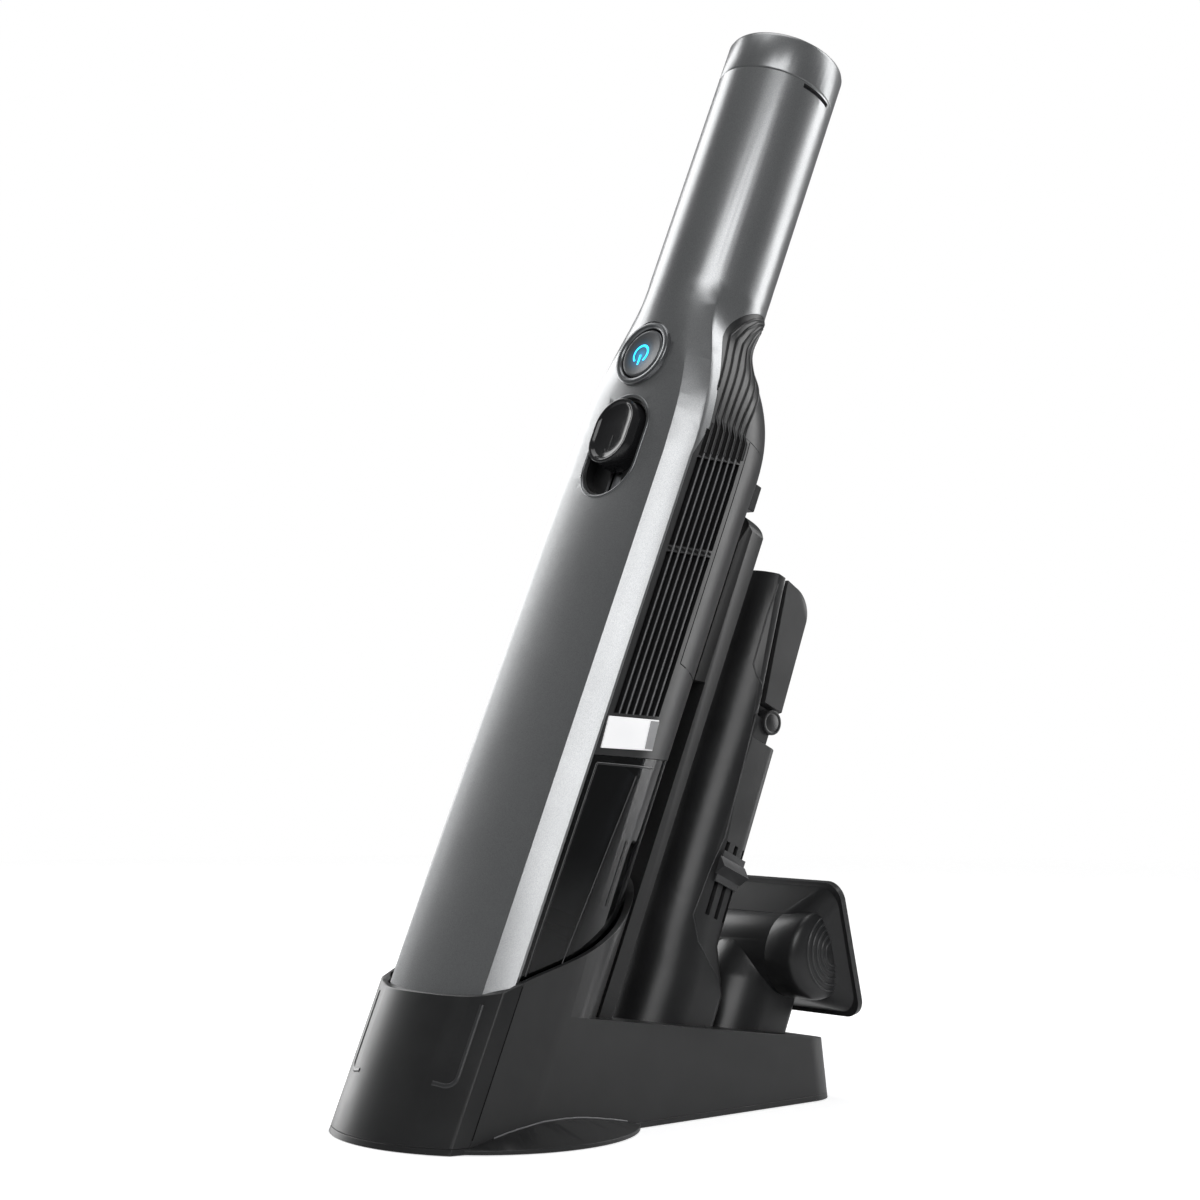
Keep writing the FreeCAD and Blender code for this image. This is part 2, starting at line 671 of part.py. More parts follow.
def battery():
    """Case with three cells and the end cap; the stick slides out of the handle."""
    centre, top = dim("handle_centre"), dim("handle_top")
    outer = cylinder("CaseOuter", (0, centre, 302.0), "Sheet.battery_radius",
                     "Sheet.handle_top - 301.8")
    inner = cylinder("CaseInner", (0, centre, 304.0), "Sheet.battery_radius - 1.0", "84")
    node("battery_case", cut("BatteryCase", outer, inner))

    cells = []
    reach = dim("cell_radius") * 2 / math.sqrt(3) + 0.05
    for index in range(3):
        angle = math.radians(90 + 120 * index)
        at = (reach * math.cos(angle), centre + reach * math.sin(angle), 310.0)
        cells.append(cylinder("Cell%d" % index, at, "Sheet.cell_radius", "Sheet.cell_length"))
    node("battery_cells", group("BatteryCells", cells))

    radius = dim("handle_radius")
    height = dim("cap_top") - top
    cap = revolved("BatteryEndCap", [
        (0, 0.2), (radius - 0.5, 0.2), (radius, 0.7), (radius, height - 2.8),
        (radius - 0.5, height - 1.5), (radius - 1.8, height - 0.7), (radius - 5.0, height - 0.3),
        (0, height)])
    cap.Placement = Placement(Vector(0, centre, top), Rotation())
    node("battery_end_cap", cap)


# ---------------------------------------------------------------- dock

def dock_profile(low, high, grow):
    """A straight run of the outline that wraps the vacuum; grow 0 is the outer face."""
    section = (33.4, 4.4, 35.0, 9.6, dim("body_back_centre"), 35.0, -4.8)
    wire = body_wire(low, -grow, section)
    return Part.Face(wire).extrude(Vector(0, 0, high - low))


def rim_space():
    """Everything above the collar's sweeping rim, in the leaning frame."""
    rim = [(-12, 16.5), (-2, 18.0), (9.6, 27.8), (22.9, 38.6), (38.3, 52.1), (48.3, 62.9),
           (57, 75), (66, 91)]
    curve = Part.BSplineCurve()
    curve.interpolate([Vector(-60, y, z) for y, z in rim])
    corners = [Vector(-60, *rim[-1]), Vector(-60, 66, FAR), Vector(-60, -12, FAR),
               Vector(-60, *rim[0])]
    edges = [curve.toShape()] + [Part.LineSegment(a, b).toShape()
                                 for a, b in zip(corners, corners[1:])]
    front = Part.Face(Part.Wire(edges)).extrude(Vector(120, 0, 0))
    return front.fuse(slab((-60, 65.9, -60), (60, 90, FAR)))


def base_wire(height, inset, rear):
    """Plan outline of the dock's rear wedge, with rounded rear corners."""
    side, corner = dim("dock_half_width") - inset, dim("dock_corner") - inset
    back, front = rear - inset, -60.0
    slope = corner * (1 - math.sqrt(0.5))

    def at(x, y):
        return Vector(x, y, height)

    return Part.Wire([
        Part.LineSegment(at(-side, front), at(side, front)).toShape(),
        Part.LineSegment(at(side, front), at(side, back - corner)).toShape(),
        Part.Arc(at(side, back - corner), at(side - slope, back - slope),
                 at(side - corner, back)).toShape(),
        Part.LineSegment(at(side - corner, back), at(corner - side, back)).toShape(),
        Part.Arc(at(corner - side, back), at(slope - side, back - slope),
                 at(-side, back - corner)).toShape(),
        Part.LineSegment(at(-side, back - corner), at(-side, front)).toShape(),
    ])


def wedge(inset):
    """The dock's rear body under its sloping ledge; its rear wall leans in a little."""
    high, lean = 60.0, 9.0
    body = Part.makeLoft([base_wire(0, inset, dim("dock_rear")),
                          base_wire(high, inset, dim("dock_rear") - lean)], True, True)
    front, rear = dim("ledge_front") - inset, dim("ledge_rear") - inset
    slope = (front - rear) / 117.0
    above = side_prism([(-100, front + 78 * slope), (140, front - 162 * slope), (140, 120),
                        (-100, 120)], 80)
    return body.cut(above)


def leaning(shape):
    """Carry a shape from the leaning frame into the row."""
    placed = shape.copy()
    placed.Placement = LEAN.multiply(placed.Placement)
    return placed


def above_floor(height):
    return slab((-100, -200, height), (100, 200, 300))


def spine_shape():
    """Upright cradle wall behind the vacuum, bevelled along its front edges."""
    half, front, back = dim("spine_half_width"), dim("spine_front"), dim("spine_back")
    top = dim("spine_top")
    side = side_prism([(front, 20), (back, 20), (back, top - 9), (back - 1.4, top - 2.6),
                       (back - 5.6, top), (front + 2.6, top - 1.0), (front, top - 14)],
                      half, arcs=(3,))
    plan = [Vector(-half, back, 0), Vector(half, back, 0), Vector(half, front + 3.0, 0),
            Vector(half - 2.2, front, 0), Vector(2.2 - half, front, 0),
            Vector(-half, front + 3.0, 0)]
    outline = face_of(plan).extrude(Vector(0, 0, FAR))
    rounded = face_of([Vector(-half, 0, 0), Vector(half, 0, 0), Vector(half, 0, top - 8),
                       Vector(0, 0, top), Vector(-half, 0, top - 8)], arcs=(3,))
    whole = side.common(outline).common(rounded.extrude(Vector(0, FAR, 0)))
    step, column = dim("spine_step"), dim("column_half_width")
    below = side_prism([(50, 10), (80, 10), (80, step + 2.0), (50, step - 2.0)], 20)
    below = below.cut(slab((-column, dim("column_front"), 0), (column, 90, FAR)))
    return whole.cut(below)


def tool_holes():
    """Openings in the ledge that the two tools drop through."""
    clear = 0.6
    half, depth = dim("tool_half_width") + clear, dim("tool_depth") + 2 * clear
    return [d_prism(0.0, 90.0, half, dim(name) - clear, depth, 3.4)
            for name in ("crevice_front", "pet_front")]


def dock():
    collar = leaning(dock_profile(-60, 120, 0.0).cut(rim_space()))
    well = leaning(dock_profile(-70, 140, -2.5))
    body = wedge(0.0)
    inner = wedge(dim("dock_wall"))
    outer = collar.fuse(body).common(above_floor(0.0))
    # The vacuum's own clearance is cut last, so the collar wall follows its outline.
    space = leaning(body_prism(-70, FAR, -0.7))
    seam = leaning(slab((-80, -60, -80), (80, 10.0, FAR)))
    shells = outer.common(above_floor(2.0))

    front = shells.common(seam).cut([well, space])
    node("dock_front_shell", solid("DockFrontShell", front), UPRIGHT)

    hollow = inner.cut(collar)
    jack_hole = Part.makeCylinder(4.7, 30, Vector(0, 80, 11), Vector(0, 1, 0))
    rear = shells.cut([seam, well, space, hollow, jack_hole, leaning(spine_shape())])
    rear = rear.cut([leaning(hole) for hole in tool_holes()])
    node("dock_rear_shell", solid("DockRearShell", max(rear.Solids, key=lambda s: s.Volume)),
         UPRIGHT)

    foot = Part.makeCone(dim("foot_radius"), dim("foot_radius") - 19.0, 6.0,
                         Vector(0, dim("foot_centre"), 1.4))
    rim = Part.makeCylinder(dim("foot_radius"), 1.4,
                            Vector(0, dim("foot_centre"), 0))
    plate = outer.common(slab((-100, -200, 0), (100, 200, 2.0)))
    flare = foot.fuse(rim).cut(outer.fuse(well).common(above_floor(2.0)))
    base = plate.fuse(flare)
    pad = dim("pad_radius") + 0.1
    base = base.cut([Part.makeCylinder(pad, 1.0, Vector(x, y, 0)) for x, y in FEET])
    base = base.cut([Part.makeCylinder(2.6, 1.0, Vector(x, y, 0)) for x, y in BASE_SCREWS])
    node("dock_base_plate", solid("DockBasePlate", base.removeSplitter()), UPRIGHT)

    node("dock_spine", solid("DockSpine", spine_shape()))
    cradle_tray()
    tool_posts()
    dock_electrics()
    feet_and_screws()


def cradle_tray():
    """The floor of the cradle, with a hole for the nozzle and two for the charging pins."""
    tray = body_prism(-1.3, 1.7, -0.65)
    hole = d_prism(-10, 10, dim("nozzle_half_width") + 0.9, dim("nozzle_front") - 0.9,
                   dim("nozzle_depth") + 1.8, 3.9)
    pins = [Part.makeCylinder(1.7, 20, Vector(side * 10.0, 50.0, -10)) for side in (-1, 1)]
    tray = tray.cut([hole] + pins + [slab((-20, 61.4, -5), (20, 70, 5))])
    node("cradle_tray", solid("CradleTray", tray))


def tool_posts():
    """The two D-shaped posts that the tools stand on."""
    gap = 0.5
    half = dim("tool_half_width") - dim("tool_wall") - gap
    depth = dim("tool_depth") - 2 * (dim("tool_wall") + gap)
    posts = []
    for name, top in (("crevice_front", 58.0), ("pet_front", 68.0)):
        front = dim(name) + dim("tool_wall") + gap
        post = d_prism(-30.0, top, half, front, depth, 2.0)
        hollow = d_prism(-40.0, top - 2.0, half, front, depth, 2.0, inset=1.8)
        posts.append(leaning(post.cut(hollow)).common(above_floor(2.0)))
    node("tool_posts", solid("ToolPosts", Part.makeCompound(posts)), UPRIGHT)


def dock_electrics():
    """Charging pins in their block, the dock's circuit board and the supply socket."""
    pins = []
    for index, side in enumerate((-1, 1)):
        pins.append(cylinder("ChargePin%d" % index, (side * 10.0, 50.0, -6.0), "1.6", "7.9"))
    node("charge_pins", group("ChargePins", pins))
    carrier = block("PinCarrierBlock", (0, 50.0, -3.8), "28", "7", "4.0")
    holes = [cylinder("PinCarrierHole%d" % index, (side * 10.0, 50.0, -8.0), "1.62", "10")
             for index, side in enumerate((-1, 1))]
    node("pin_carrier", cut("PinCarrier", carrier, joined("PinCarrierHoles", holes)))

    board = block("DockBoard", (24.0, 36.0, 4.4), "11", "44", "1.6")
    node("dock_circuit_board", board, UPRIGHT)
    barrel = cylinder("JackBarrel", (0, 84.0, 11.0), "4.6", "12.6", ALONG_Y)
    mouth = cylinder("JackMouth", (0, 87.0, 11.0), "2.9", "20", ALONG_Y)
    contact = cylinder("JackContact", (0, 85.0, 11.0), "1.0", "10.5", ALONG_Y)
    shell = cut("JackShell", barrel, mouth)
    node("dc_jack", joined("DcJack", [shell, contact]), UPRIGHT)


def feet_and_screws():
    feet = [cylinder("Foot%d" % index, (x, y, 0), "Sheet.pad_radius", "1.0")
            for index, (x, y) in enumerate(FEET)]
    node("dock_feet", group("DockFeet", feet), UPRIGHT)
    screws = [cylinder("BaseScrew%d" % index, (x, y, 0.1), "2.5", "0.4")
              for index, (x, y) in enumerate(BASE_SCREWS)]
    node("dock_screws", group("DockScrews", screws), UPRIGHT)


# ---------------------------------------------------------------- crevice tool

def crevice_sections():
    """Height, half width, front, shoulder, rear and corner of the crevice tool's outlines."""
    half, front = dim("tool_half_width"), dim("crevice_front")
    rear = front + dim("tool_depth")
    return [(37.0, half, front, front + half, rear, 3.0),
            (60.0, half, front, front + half, rear, 3.0),
            (76.0, 17.0, front - 1.0, front + 16.0, 109.5, 4.0),
            (154.0, 15.6, front - 2.4, front + 7.5, 109.0, 4.0)]


def crevice_tool():
    """Tube with its slim nozzle, rear cover, relief slider, hinge pin, brush arm and bristles."""
    wall = dim("tool_wall")
    sections = crevice_sections()
    shell = d_loft(sections).cut(d_loft(sections, inset=wall))
    seam = [(118.0, 61.0), (105.7, 68.4), (97.4, 74.5), (93.4, 83.0), (94.6, 156.0),
            (130.0, 156.0), (130.0, 61.0)]
    behind = side_prism(seam, 40)

    nozzle = [(154.0, 15.6, 82.6, 92.5, 95.4, 1.2), (217.0, 12.5, 81.5, 85.5, 90.0, 1.2)]
    slim = d_loft(nozzle).cut(d_loft(nozzle, inset=1.5))
    plug = Part.Face(d_wire(*sections[3])).extrude(Vector(0, 0, 1.6))
    plug = plug.cut(d_loft(nozzle, inset=1.5)).cut(slab((-30, 98, 150), (30, 120, 160)))
    tube = shell.cut(behind).fuse([slim, plug])
    ears = []
    for side in (-1, 1):
        start = 12.7 if side > 0 else -15.6
        ear = Part.makeCylinder(dim("hinge_radius"), 2.9,
                                Vector(start, dim("hinge_y"), dim("hinge_z")), Vector(1, 0, 0))
        web = slab((start, 92.5, 153.8), (start + 2.9, 102.0, 162.0))
        ears += [ear, web]
    pin_hole = Part.makeCylinder(dim("pin_radius") + 0.02, 44.8,
                                 Vector(-30, dim("hinge_y"), dim("hinge_z")), Vector(1, 0, 0))
    tube = tube.fuse(ears).cut(pin_hole)
    node("crevice_tube", solid("CreviceTube", tube.removeSplitter()))

    cover = shell.common(behind).cut(slab((-30, 92, 153.7), (30, 120, 170)))
    slots = [slab((10, y, 84.5), (22, y + 1.8, 113.0)) for y in (97.0, 101.5, 106.0)]
    node("crevice_rear_cover", solid("CreviceRearCover", cover.cut(slots)))

    relief_slider()
    node("arm_hinge_pin", cylinder("ArmHingePin", (-15.4, dim("hinge_y"), dim("hinge_z")),
                                   "Sheet.pin_radius", "30", ALONG_X))
    brush_arm()


def relief_slider():
    """Thumb tab that covers or frees the relief slots."""
    plate = slab((17.2, 95.6, 97.0), (18.0, 107.4, 109.0))
    points = [Vector(17.9, 94.4, 99.6), Vector(17.9, 94.4, 106.6), Vector(21.6, 94.4, 102.6)]
    ridge = face_of(points).extrude(Vector(0, 13.8, 0))
    node("relief_slider", solid("ReliefSlider", plate.fuse(ridge).removeSplitter()))


def brush_arm():
    """Swinging hood with the bristle block and its tufts inside."""
    hinge_y, hinge_z, radius = dim("hinge_y"), dim("hinge_z"), dim("hinge_radius")
    half = dim("arm_half_width")
    outline = [(96.0, 168.0), (91.0, 216.9), (96.0, 216.2), (103.1, 213.0), (106.0, 206.0),
               (hinge_y + radius, hinge_z), (hinge_y, hinge_z - radius),
               (hinge_y - radius, hinge_z)]
    # The hood is as wide as the nozzle above the hinge ears, and fits between them below.
    taper = face_of([Vector(x, 60, z) for x, z in (
        (-half, 150), (half, 150), (half, 167.3), (15.0, 168.3), (12.5, 217.5), (-12.5, 217.5),
        (-15.0, 168.3), (-half, 167.3))]).extrude(Vector(0, 60, 0))
    hood = side_prism(outline, 20, arcs=(3, 6)).common(taper)
    pocket = side_prism([(80, 171), (104.3, 171), (104.3, 230), (80, 230)], half - 1.5)
    bore = Part.makeCylinder(dim("pin_radius") + 0.06, 80, Vector(-40, hinge_y, hinge_z),
                             Vector(1, 0, 0))
    node("brush_arm", solid("BrushArm", hood.cut([pocket, bore])))

    node("bristle_block", block("BristleBlock", (0, 99.8, 174.05), "21.4", "8.6", "6.0"))
    tufts = []
    for row in range(2):
        for column in range(7):
            at = (-9.0 + 3.0 * column, 97.8 + 4.0 * row, 177.1)
            tufts.append(cylinder("Tuft%d_%d" % (row, column), at, "1.1", "33.0"))
    node("brush_bristles", group("BrushBristles", tufts))


# ---------------------------------------------------------------- pet tool

def pet_frame():
    """Frame on the pet tool's mouth: x across, y up the mouth, z out of it."""
    return Placement(Vector(0, 152.1, 92.9), Rotation(Vector(1, 0, 0), -52.6))


def rounded_box_wire(width, height, corner, depth):
    """A rectangle with round corners, at one depth in front of the mouth."""
    x, y = width / 2, height / 2
    slope = corner * (1 - math.sqrt(0.5))
    edges = []
    for sx, sy in ((1, 1), (-1, 1), (-1, -1), (1, -1)):
        first = Vector(sx * x, sy * (y - corner), depth)
        middle = Vector(sx * (x - slope), sy * (y - slope), depth)
        last = Vector(sx * (x - corner), sy * y, depth)
        edges.append([first, middle, last] if sx * sy > 0 else [last, middle, first])
    wire = []
    for index, (start, middle, end) in enumerate(edges):
        wire.append(Part.Arc(start, middle, end).toShape())
        wire.append(Part.LineSegment(end, edges[(index + 1) % 4][0]).toShape())
    return Part.Wire(wire)


def pet_tool():
    """Socket tube and wide head, with the brush strip and lip inside its mouth."""
    frame = pet_frame()
    half, front = dim("tool_half_width"), dim("pet_front")
    wall = dim("tool_wall")
    wide, high = 81.0, 52.0

    def placed(shape):
        shape.Placement = frame
        return shape

    def head(inset):
        flare = Part.makeLoft([rounded_box_wire(wide - 2 * inset, high - 2 * inset,
                                                7 - inset / 2, 0),
                               rounded_box_wire(62 - 2 * inset, 33 - 2 * inset, 12 - inset, -13)],
                              True, True)
        radius, straight, end = 16.5 - inset, 25.0, 36.0 - inset
        ball = (radius ** 2 + (end - straight) ** 2) / (2 * (end - straight))
        angle = math.asin(radius / ball) / 2
        turn, height = end - ball + ball * math.cos(angle), ball * math.sin(angle)
        axis = Vector(0, 0, -10)
        corners = [axis + Vector(x, y, 0) for x, y in (
            (-end, 0), (-turn, height), (-straight, radius), (straight, radius),
            (turn, height), (end, 0))]
        profile = face_of(corners, arcs=(1, 4))
        barrel = Part.makeSolid(profile.revolve(axis, Vector(1, 0, 0), 360))
        if barrel.Volume < 0:
            barrel.reverse()
        return placed(flare), placed(barrel)

    flange = placed(Part.Face(rounded_box_wire(wide, high, 7, -2.4)).extrude(Vector(0, 0, 2.4)))
    rear = front + dim("tool_depth")
    stem = [(46.0, half, front, front + half, rear, 3.0),
            (70.0, half, front, front + half, rear, 3.0),
            (86.0, 16.4, front + 6.0, front + 22.0, rear, 3.0)]
    tube = d_loft(stem)
    bore = d_loft([(40.0,) + stem[0][1:]] + stem[1:], inset=wall)
    outer_flare, outer_barrel = head(0.0)
    inner_flare, inner_barrel = head(wall)
    mouth = placed(Part.Face(rounded_box_wire(wide - 8, high - 8, 5, -2.6)).extrude(
        Vector(0, 0, 6)))
    shell = tube.fuse([outer_flare, outer_barrel, flange])
    shell = shell.cut([bore, inner_flare, inner_barrel, mouth])
    node("pet_tool_shell", solid("PetToolShell", max(shell.Solids, key=lambda s: s.Volume)))

    strips = []
    for side in (-1, 1):
        strip = slab((-23.0, side * 13.0 - 2.0, -9.0), (23.0, side * 13.0 + 2.0, 0.0))
        strips.append(placed(strip))
    node("pet_brush_strips", solid("PetBrushStrips", Part.makeCompound(strips)))


# ---------------------------------------------------------------- build and write

def check_and_write():
    """Stop on any failed feature, then write one STEP file for each sub-part."""
    doc.recompute()
    for item in doc.Objects:
        if "Invalid" in item.State or "Error" in item.State:
            raise RuntimeError("failed feature: %s %s" % (item.Name, item.State))
    os.makedirs("parts", exist_ok=True)
    for piece in NODES:
        shape = piece.Shape
        if shape.isNull() or not shape.isValid():
            raise RuntimeError("bad shape: " + piece.Label)
        print("%-24s solids %2d  volume %9.0f" % (piece.Label, len(shape.Solids), shape.Volume))
        shape.exportStep("parts/%s.step" % piece.Label)


vacuum_casing()
vent_screens()
badges()
housing_screws()
power_control()
ejector_control()
cup_release()
dust_cup()
cup_door()
filters()
motor_unit()
electronics()
battery()
dock()
crevice_tool()
pet_tool()
check_and_write()
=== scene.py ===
import json
import math

import bmesh
import bpy
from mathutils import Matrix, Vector
from mathutils.bvhtree import BVHTree

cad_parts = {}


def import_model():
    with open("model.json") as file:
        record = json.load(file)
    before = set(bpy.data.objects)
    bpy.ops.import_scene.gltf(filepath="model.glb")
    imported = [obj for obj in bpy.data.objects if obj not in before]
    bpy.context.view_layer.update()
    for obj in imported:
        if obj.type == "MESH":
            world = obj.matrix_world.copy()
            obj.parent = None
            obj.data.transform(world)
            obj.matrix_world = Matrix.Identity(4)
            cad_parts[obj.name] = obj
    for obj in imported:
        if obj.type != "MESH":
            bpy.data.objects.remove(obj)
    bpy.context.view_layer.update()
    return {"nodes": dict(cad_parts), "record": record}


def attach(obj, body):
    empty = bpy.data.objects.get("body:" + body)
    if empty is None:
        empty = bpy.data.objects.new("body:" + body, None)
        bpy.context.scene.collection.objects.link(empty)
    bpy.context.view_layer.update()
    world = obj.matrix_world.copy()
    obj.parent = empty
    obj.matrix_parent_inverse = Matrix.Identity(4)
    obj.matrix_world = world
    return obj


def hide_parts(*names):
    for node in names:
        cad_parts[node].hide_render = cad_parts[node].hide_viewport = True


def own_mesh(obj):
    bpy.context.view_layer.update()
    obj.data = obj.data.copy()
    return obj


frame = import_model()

MM = 0.001
LEAN = math.radians(24)
LEAN_ORIGIN_Y, LEAN_ORIGIN_Z = -77.7, 32.3      # the leaning frame's origin, in mm
ACROSS = Vector((1, 0, 0))
ALONG = Vector((0, math.sin(LEAN), math.cos(LEAN)))
REARWARD = Vector((0, math.cos(LEAN), -math.sin(LEAN)))
SIDES = (-1, 1)
NODES = frame["nodes"]

# Sizes that several details share, in mm. "m" counts rearwards and "s" along the vacuum.
RIB_PITCH = 3.1
FIRST_RIB = 15.6                                # m of the foremost rib between the vent slots
VENT_SLOPE, VENT_SLOPE_FROM = 0.36, 12.0        # the slots' ends rise towards the rear
POWER_HEIGHT = 266.0                            # s of the power button's centre
SIGN_ACROSS = -1.2                              # x of the standby sign on the button

scene = bpy.context.scene
scene.view_settings.view_transform = "Standard"
scene.view_settings.look = "None"


# ---------------------------------------------------------------- frames
def lean(x, m, s):
    """A point in the vacuum's leaning frame (mm: across, towards the rear, along) as metres."""
    return Vector((x, LEAN_ORIGIN_Y + m * math.cos(LEAN) + s * math.sin(LEAN),
                   LEAN_ORIGIN_Z - m * math.sin(LEAN) + s * math.cos(LEAN))) * MM


def vent_rise(m):
    """How much higher a vent slot's ends lie at m than at the front."""
    return VENT_SLOPE * (m - VENT_SLOPE_FROM)


def inwards(side, m, s, start=50):
    """A ray in mm, level with (m, s), that comes from one side towards the mirror plane."""
    return lean(side * start, m, s), ACROSS * -side


# ---------------------------------------------------------------- materials
PLASTIC_GRAIN = 1500.0
SMOOTH = 0.000005           # depth of the bump on smooth plastic, in metres


class Shader:
    """A small helper for writing a node material."""

    def __init__(self, name):
        self.material = bpy.data.materials.new(name)
        self.material.use_nodes = True
        self.tree = self.material.node_tree
        self.tree.nodes.clear()
        self.out = self.add("ShaderNodeOutputMaterial")

    def add(self, kind, **inputs):
        node = self.tree.nodes.new(kind)
        for key, value in inputs.items():
            if hasattr(node, key) and key not in node.inputs:
                setattr(node, key, value)
            else:
                node.inputs[key.replace("_", " ")].default_value = value
        return node

    def link(self, a, b):
        self.tree.links.new(a, b)

    def position(self):
        return self.add("ShaderNodeTexCoord").outputs["Object"]

    def noise(self, scale, detail=2.0, roughness=0.5):
        node = self.add("ShaderNodeTexNoise", Scale=scale, Detail=detail, Roughness=roughness)
        self.link(self.position(), node.inputs["Vector"])
        return node.outputs["Fac"]

    def ranged(self, value, low, high, start=0.0, end=1.0):
        node = self.add("ShaderNodeMapRange")
        node.inputs["From Min"].default_value = start
        node.inputs["From Max"].default_value = end
        node.inputs["To Min"].default_value = low
        node.inputs["To Max"].default_value = high
        self.link(value, node.inputs["Value"])
        return node.outputs["Result"]

    def mixed(self, factor, a, b):
        node = self.add("ShaderNodeMix", data_type="RGBA")
        self.link(factor, node.inputs["Factor"])
        for socket, colour in ((node.inputs["A"], a), (node.inputs["B"], b)):
            if isinstance(colour, tuple):
                socket.default_value = (*colour, 1.0)
            else:
                self.link(colour, socket)
        return node.outputs["Result"]

    def bump(self, height, distance, strength):
        node = self.add("ShaderNodeBump", Strength=strength, Distance=distance)
        self.link(height, node.inputs["Height"])
        return node.outputs["Normal"]

    def surface(self, **inputs):
        node = self.tree.nodes.new("ShaderNodeBsdfPrincipled")
        for key, value in inputs.items():
            socket = node.inputs[key.replace("_", " ")]
            if isinstance(value, bpy.types.NodeSocket):
                self.link(value, socket)
            elif isinstance(value, tuple) and len(value) == 3 and socket.type == "RGBA":
                socket.default_value = (*value, 1.0)
            else:
                socket.default_value = value
        self.link(node.outputs["BSDF"], self.out.inputs["Surface"])
        return self.material


def scaled(colour, factor, lift=0.0):
    """A colour made lighter or darker."""
    return tuple(min(1.0, c * factor + lift) for c in colour)


def metallic_paint(name, colour, roughness):
    """Fine-flake metallic paint: flakes vary in brightness and tilt, under a thin lacquer."""
    sh = Shader(name)
    flake = sh.noise(5200.0, 1.0)
    cloud = sh.noise(38.0, 3.0)
    dark, bright = scaled(colour, 0.80), scaled(colour, 1.28)
    base = sh.mixed(sh.ranged(flake, 0.0, 1.0, 0.3, 0.7), dark, bright)
    rough = sh.ranged(cloud, roughness - 0.015, roughness + 0.02, 0.3, 0.7)
    return sh.surface(Base_Color=base, Metallic=0.82, Roughness=rough,
                      Normal=sh.bump(flake, 0.000018, 0.5),
                      Coat_Weight=0.18, Coat_Roughness=0.16)


def moulded(name, colour, roughness, depth=0.00002, specular=0.5, glow=0.0):
    """Injection-moulded plastic: fine spark texture, slight cloudiness in tone and gloss; glow
    adds painted light, an emission in the plastic's own colour.
    """
    sh = Shader(name)
    fine = sh.noise(PLASTIC_GRAIN, 2.0)
    cloud = sh.noise(55.0, 4.0, 0.6)
    dark, light = scaled(colour, 0.90), scaled(colour, 1.12, 0.002)
    base = sh.mixed(sh.ranged(cloud, 0.0, 1.0, 0.3, 0.7), dark, light)
    rough = sh.ranged(cloud, roughness - 0.03, roughness + 0.03, 0.3, 0.7)
    return sh.surface(Base_Color=base, Roughness=rough, Specular_IOR_Level=specular,
                      Emission_Color=colour, Emission_Strength=glow,
                      Normal=sh.bump(fine, depth, 0.6))


def smoked_clear():
    """Clear plastic with a smoke tint."""
    sh = Shader("smoked_clear")
    cloud = sh.noise(90.0, 2.0)
    tint = sh.mixed(sh.ranged(cloud, 0.0, 1.0), (0.075, 0.078, 0.083), (0.095, 0.098, 0.104))
    return sh.surface(Base_Color=tint, Roughness=0.04, Transmission_Weight=1.0, IOR=1.45,
                      Normal=sh.bump(cloud, 0.00004, 0.3))


def bare_metal(name, colour, roughness):
    """Bare metal with a mottled tone and gloss."""
    sh = Shader(name)
    mottle = sh.noise(900.0, 3.0)
    base = sh.mixed(mottle, scaled(colour, 0.85), colour)
    rough = sh.ranged(mottle, roughness, roughness + 0.12)
    return sh.surface(Base_Color=base, Metallic=1.0, Roughness=rough)


def felt():
    """Off-white filter felt."""
    sh = Shader("filter_felt")
    fibre = sh.noise(2600.0, 4.0, 0.7)
    base = sh.mixed(fibre, (0.62, 0.62, 0.60), (0.85, 0.85, 0.83))
    return sh.surface(Base_Color=base, Roughness=0.95, Normal=sh.bump(fibre, 0.0002, 0.7))


def glowing(name, colour, strength):
    """Lit plastic: the glow is a little uneven, as over a small lamp."""
    sh = Shader(name)
    cloud = sh.ranged(sh.noise(300.0, 2.0), strength * 0.9, strength, 0.3, 0.7)
    return sh.surface(Base_Color=colour, Roughness=0.4, Emission_Color=colour,
                      Emission_Strength=cloud)


def lit_button(name, colour, place):
    """Button plastic with the glow of a lamp spreading round its sign."""
    reach = 7.8 * MM
    sh = Shader(name)
    away = sh.add("ShaderNodeVectorMath", operation="DISTANCE")
    sh.link(sh.position(), away.inputs[0])
    away.inputs[1].default_value = place
    glow = sh.ranged(away.outputs["Value"], 1.0, 0.0, 0.0, reach)
    falloff = sh.add("ShaderNodeMath", operation="POWER")
    sh.link(glow, falloff.inputs[0])
    falloff.inputs[1].default_value = 2.2
    fine = sh.noise(PLASTIC_GRAIN, 2.0)
    base = sh.mixed(fine, scaled(colour, 0.9), scaled(colour, 1.1))
    return sh.surface(Base_Color=base, Metallic=0.6, Roughness=0.3,
                      Emission_Color=(0.0, 0.30, 0.62), Emission_Strength=falloff.outputs[0],
                      Normal=sh.bump(fine, 0.00001, 0.5))


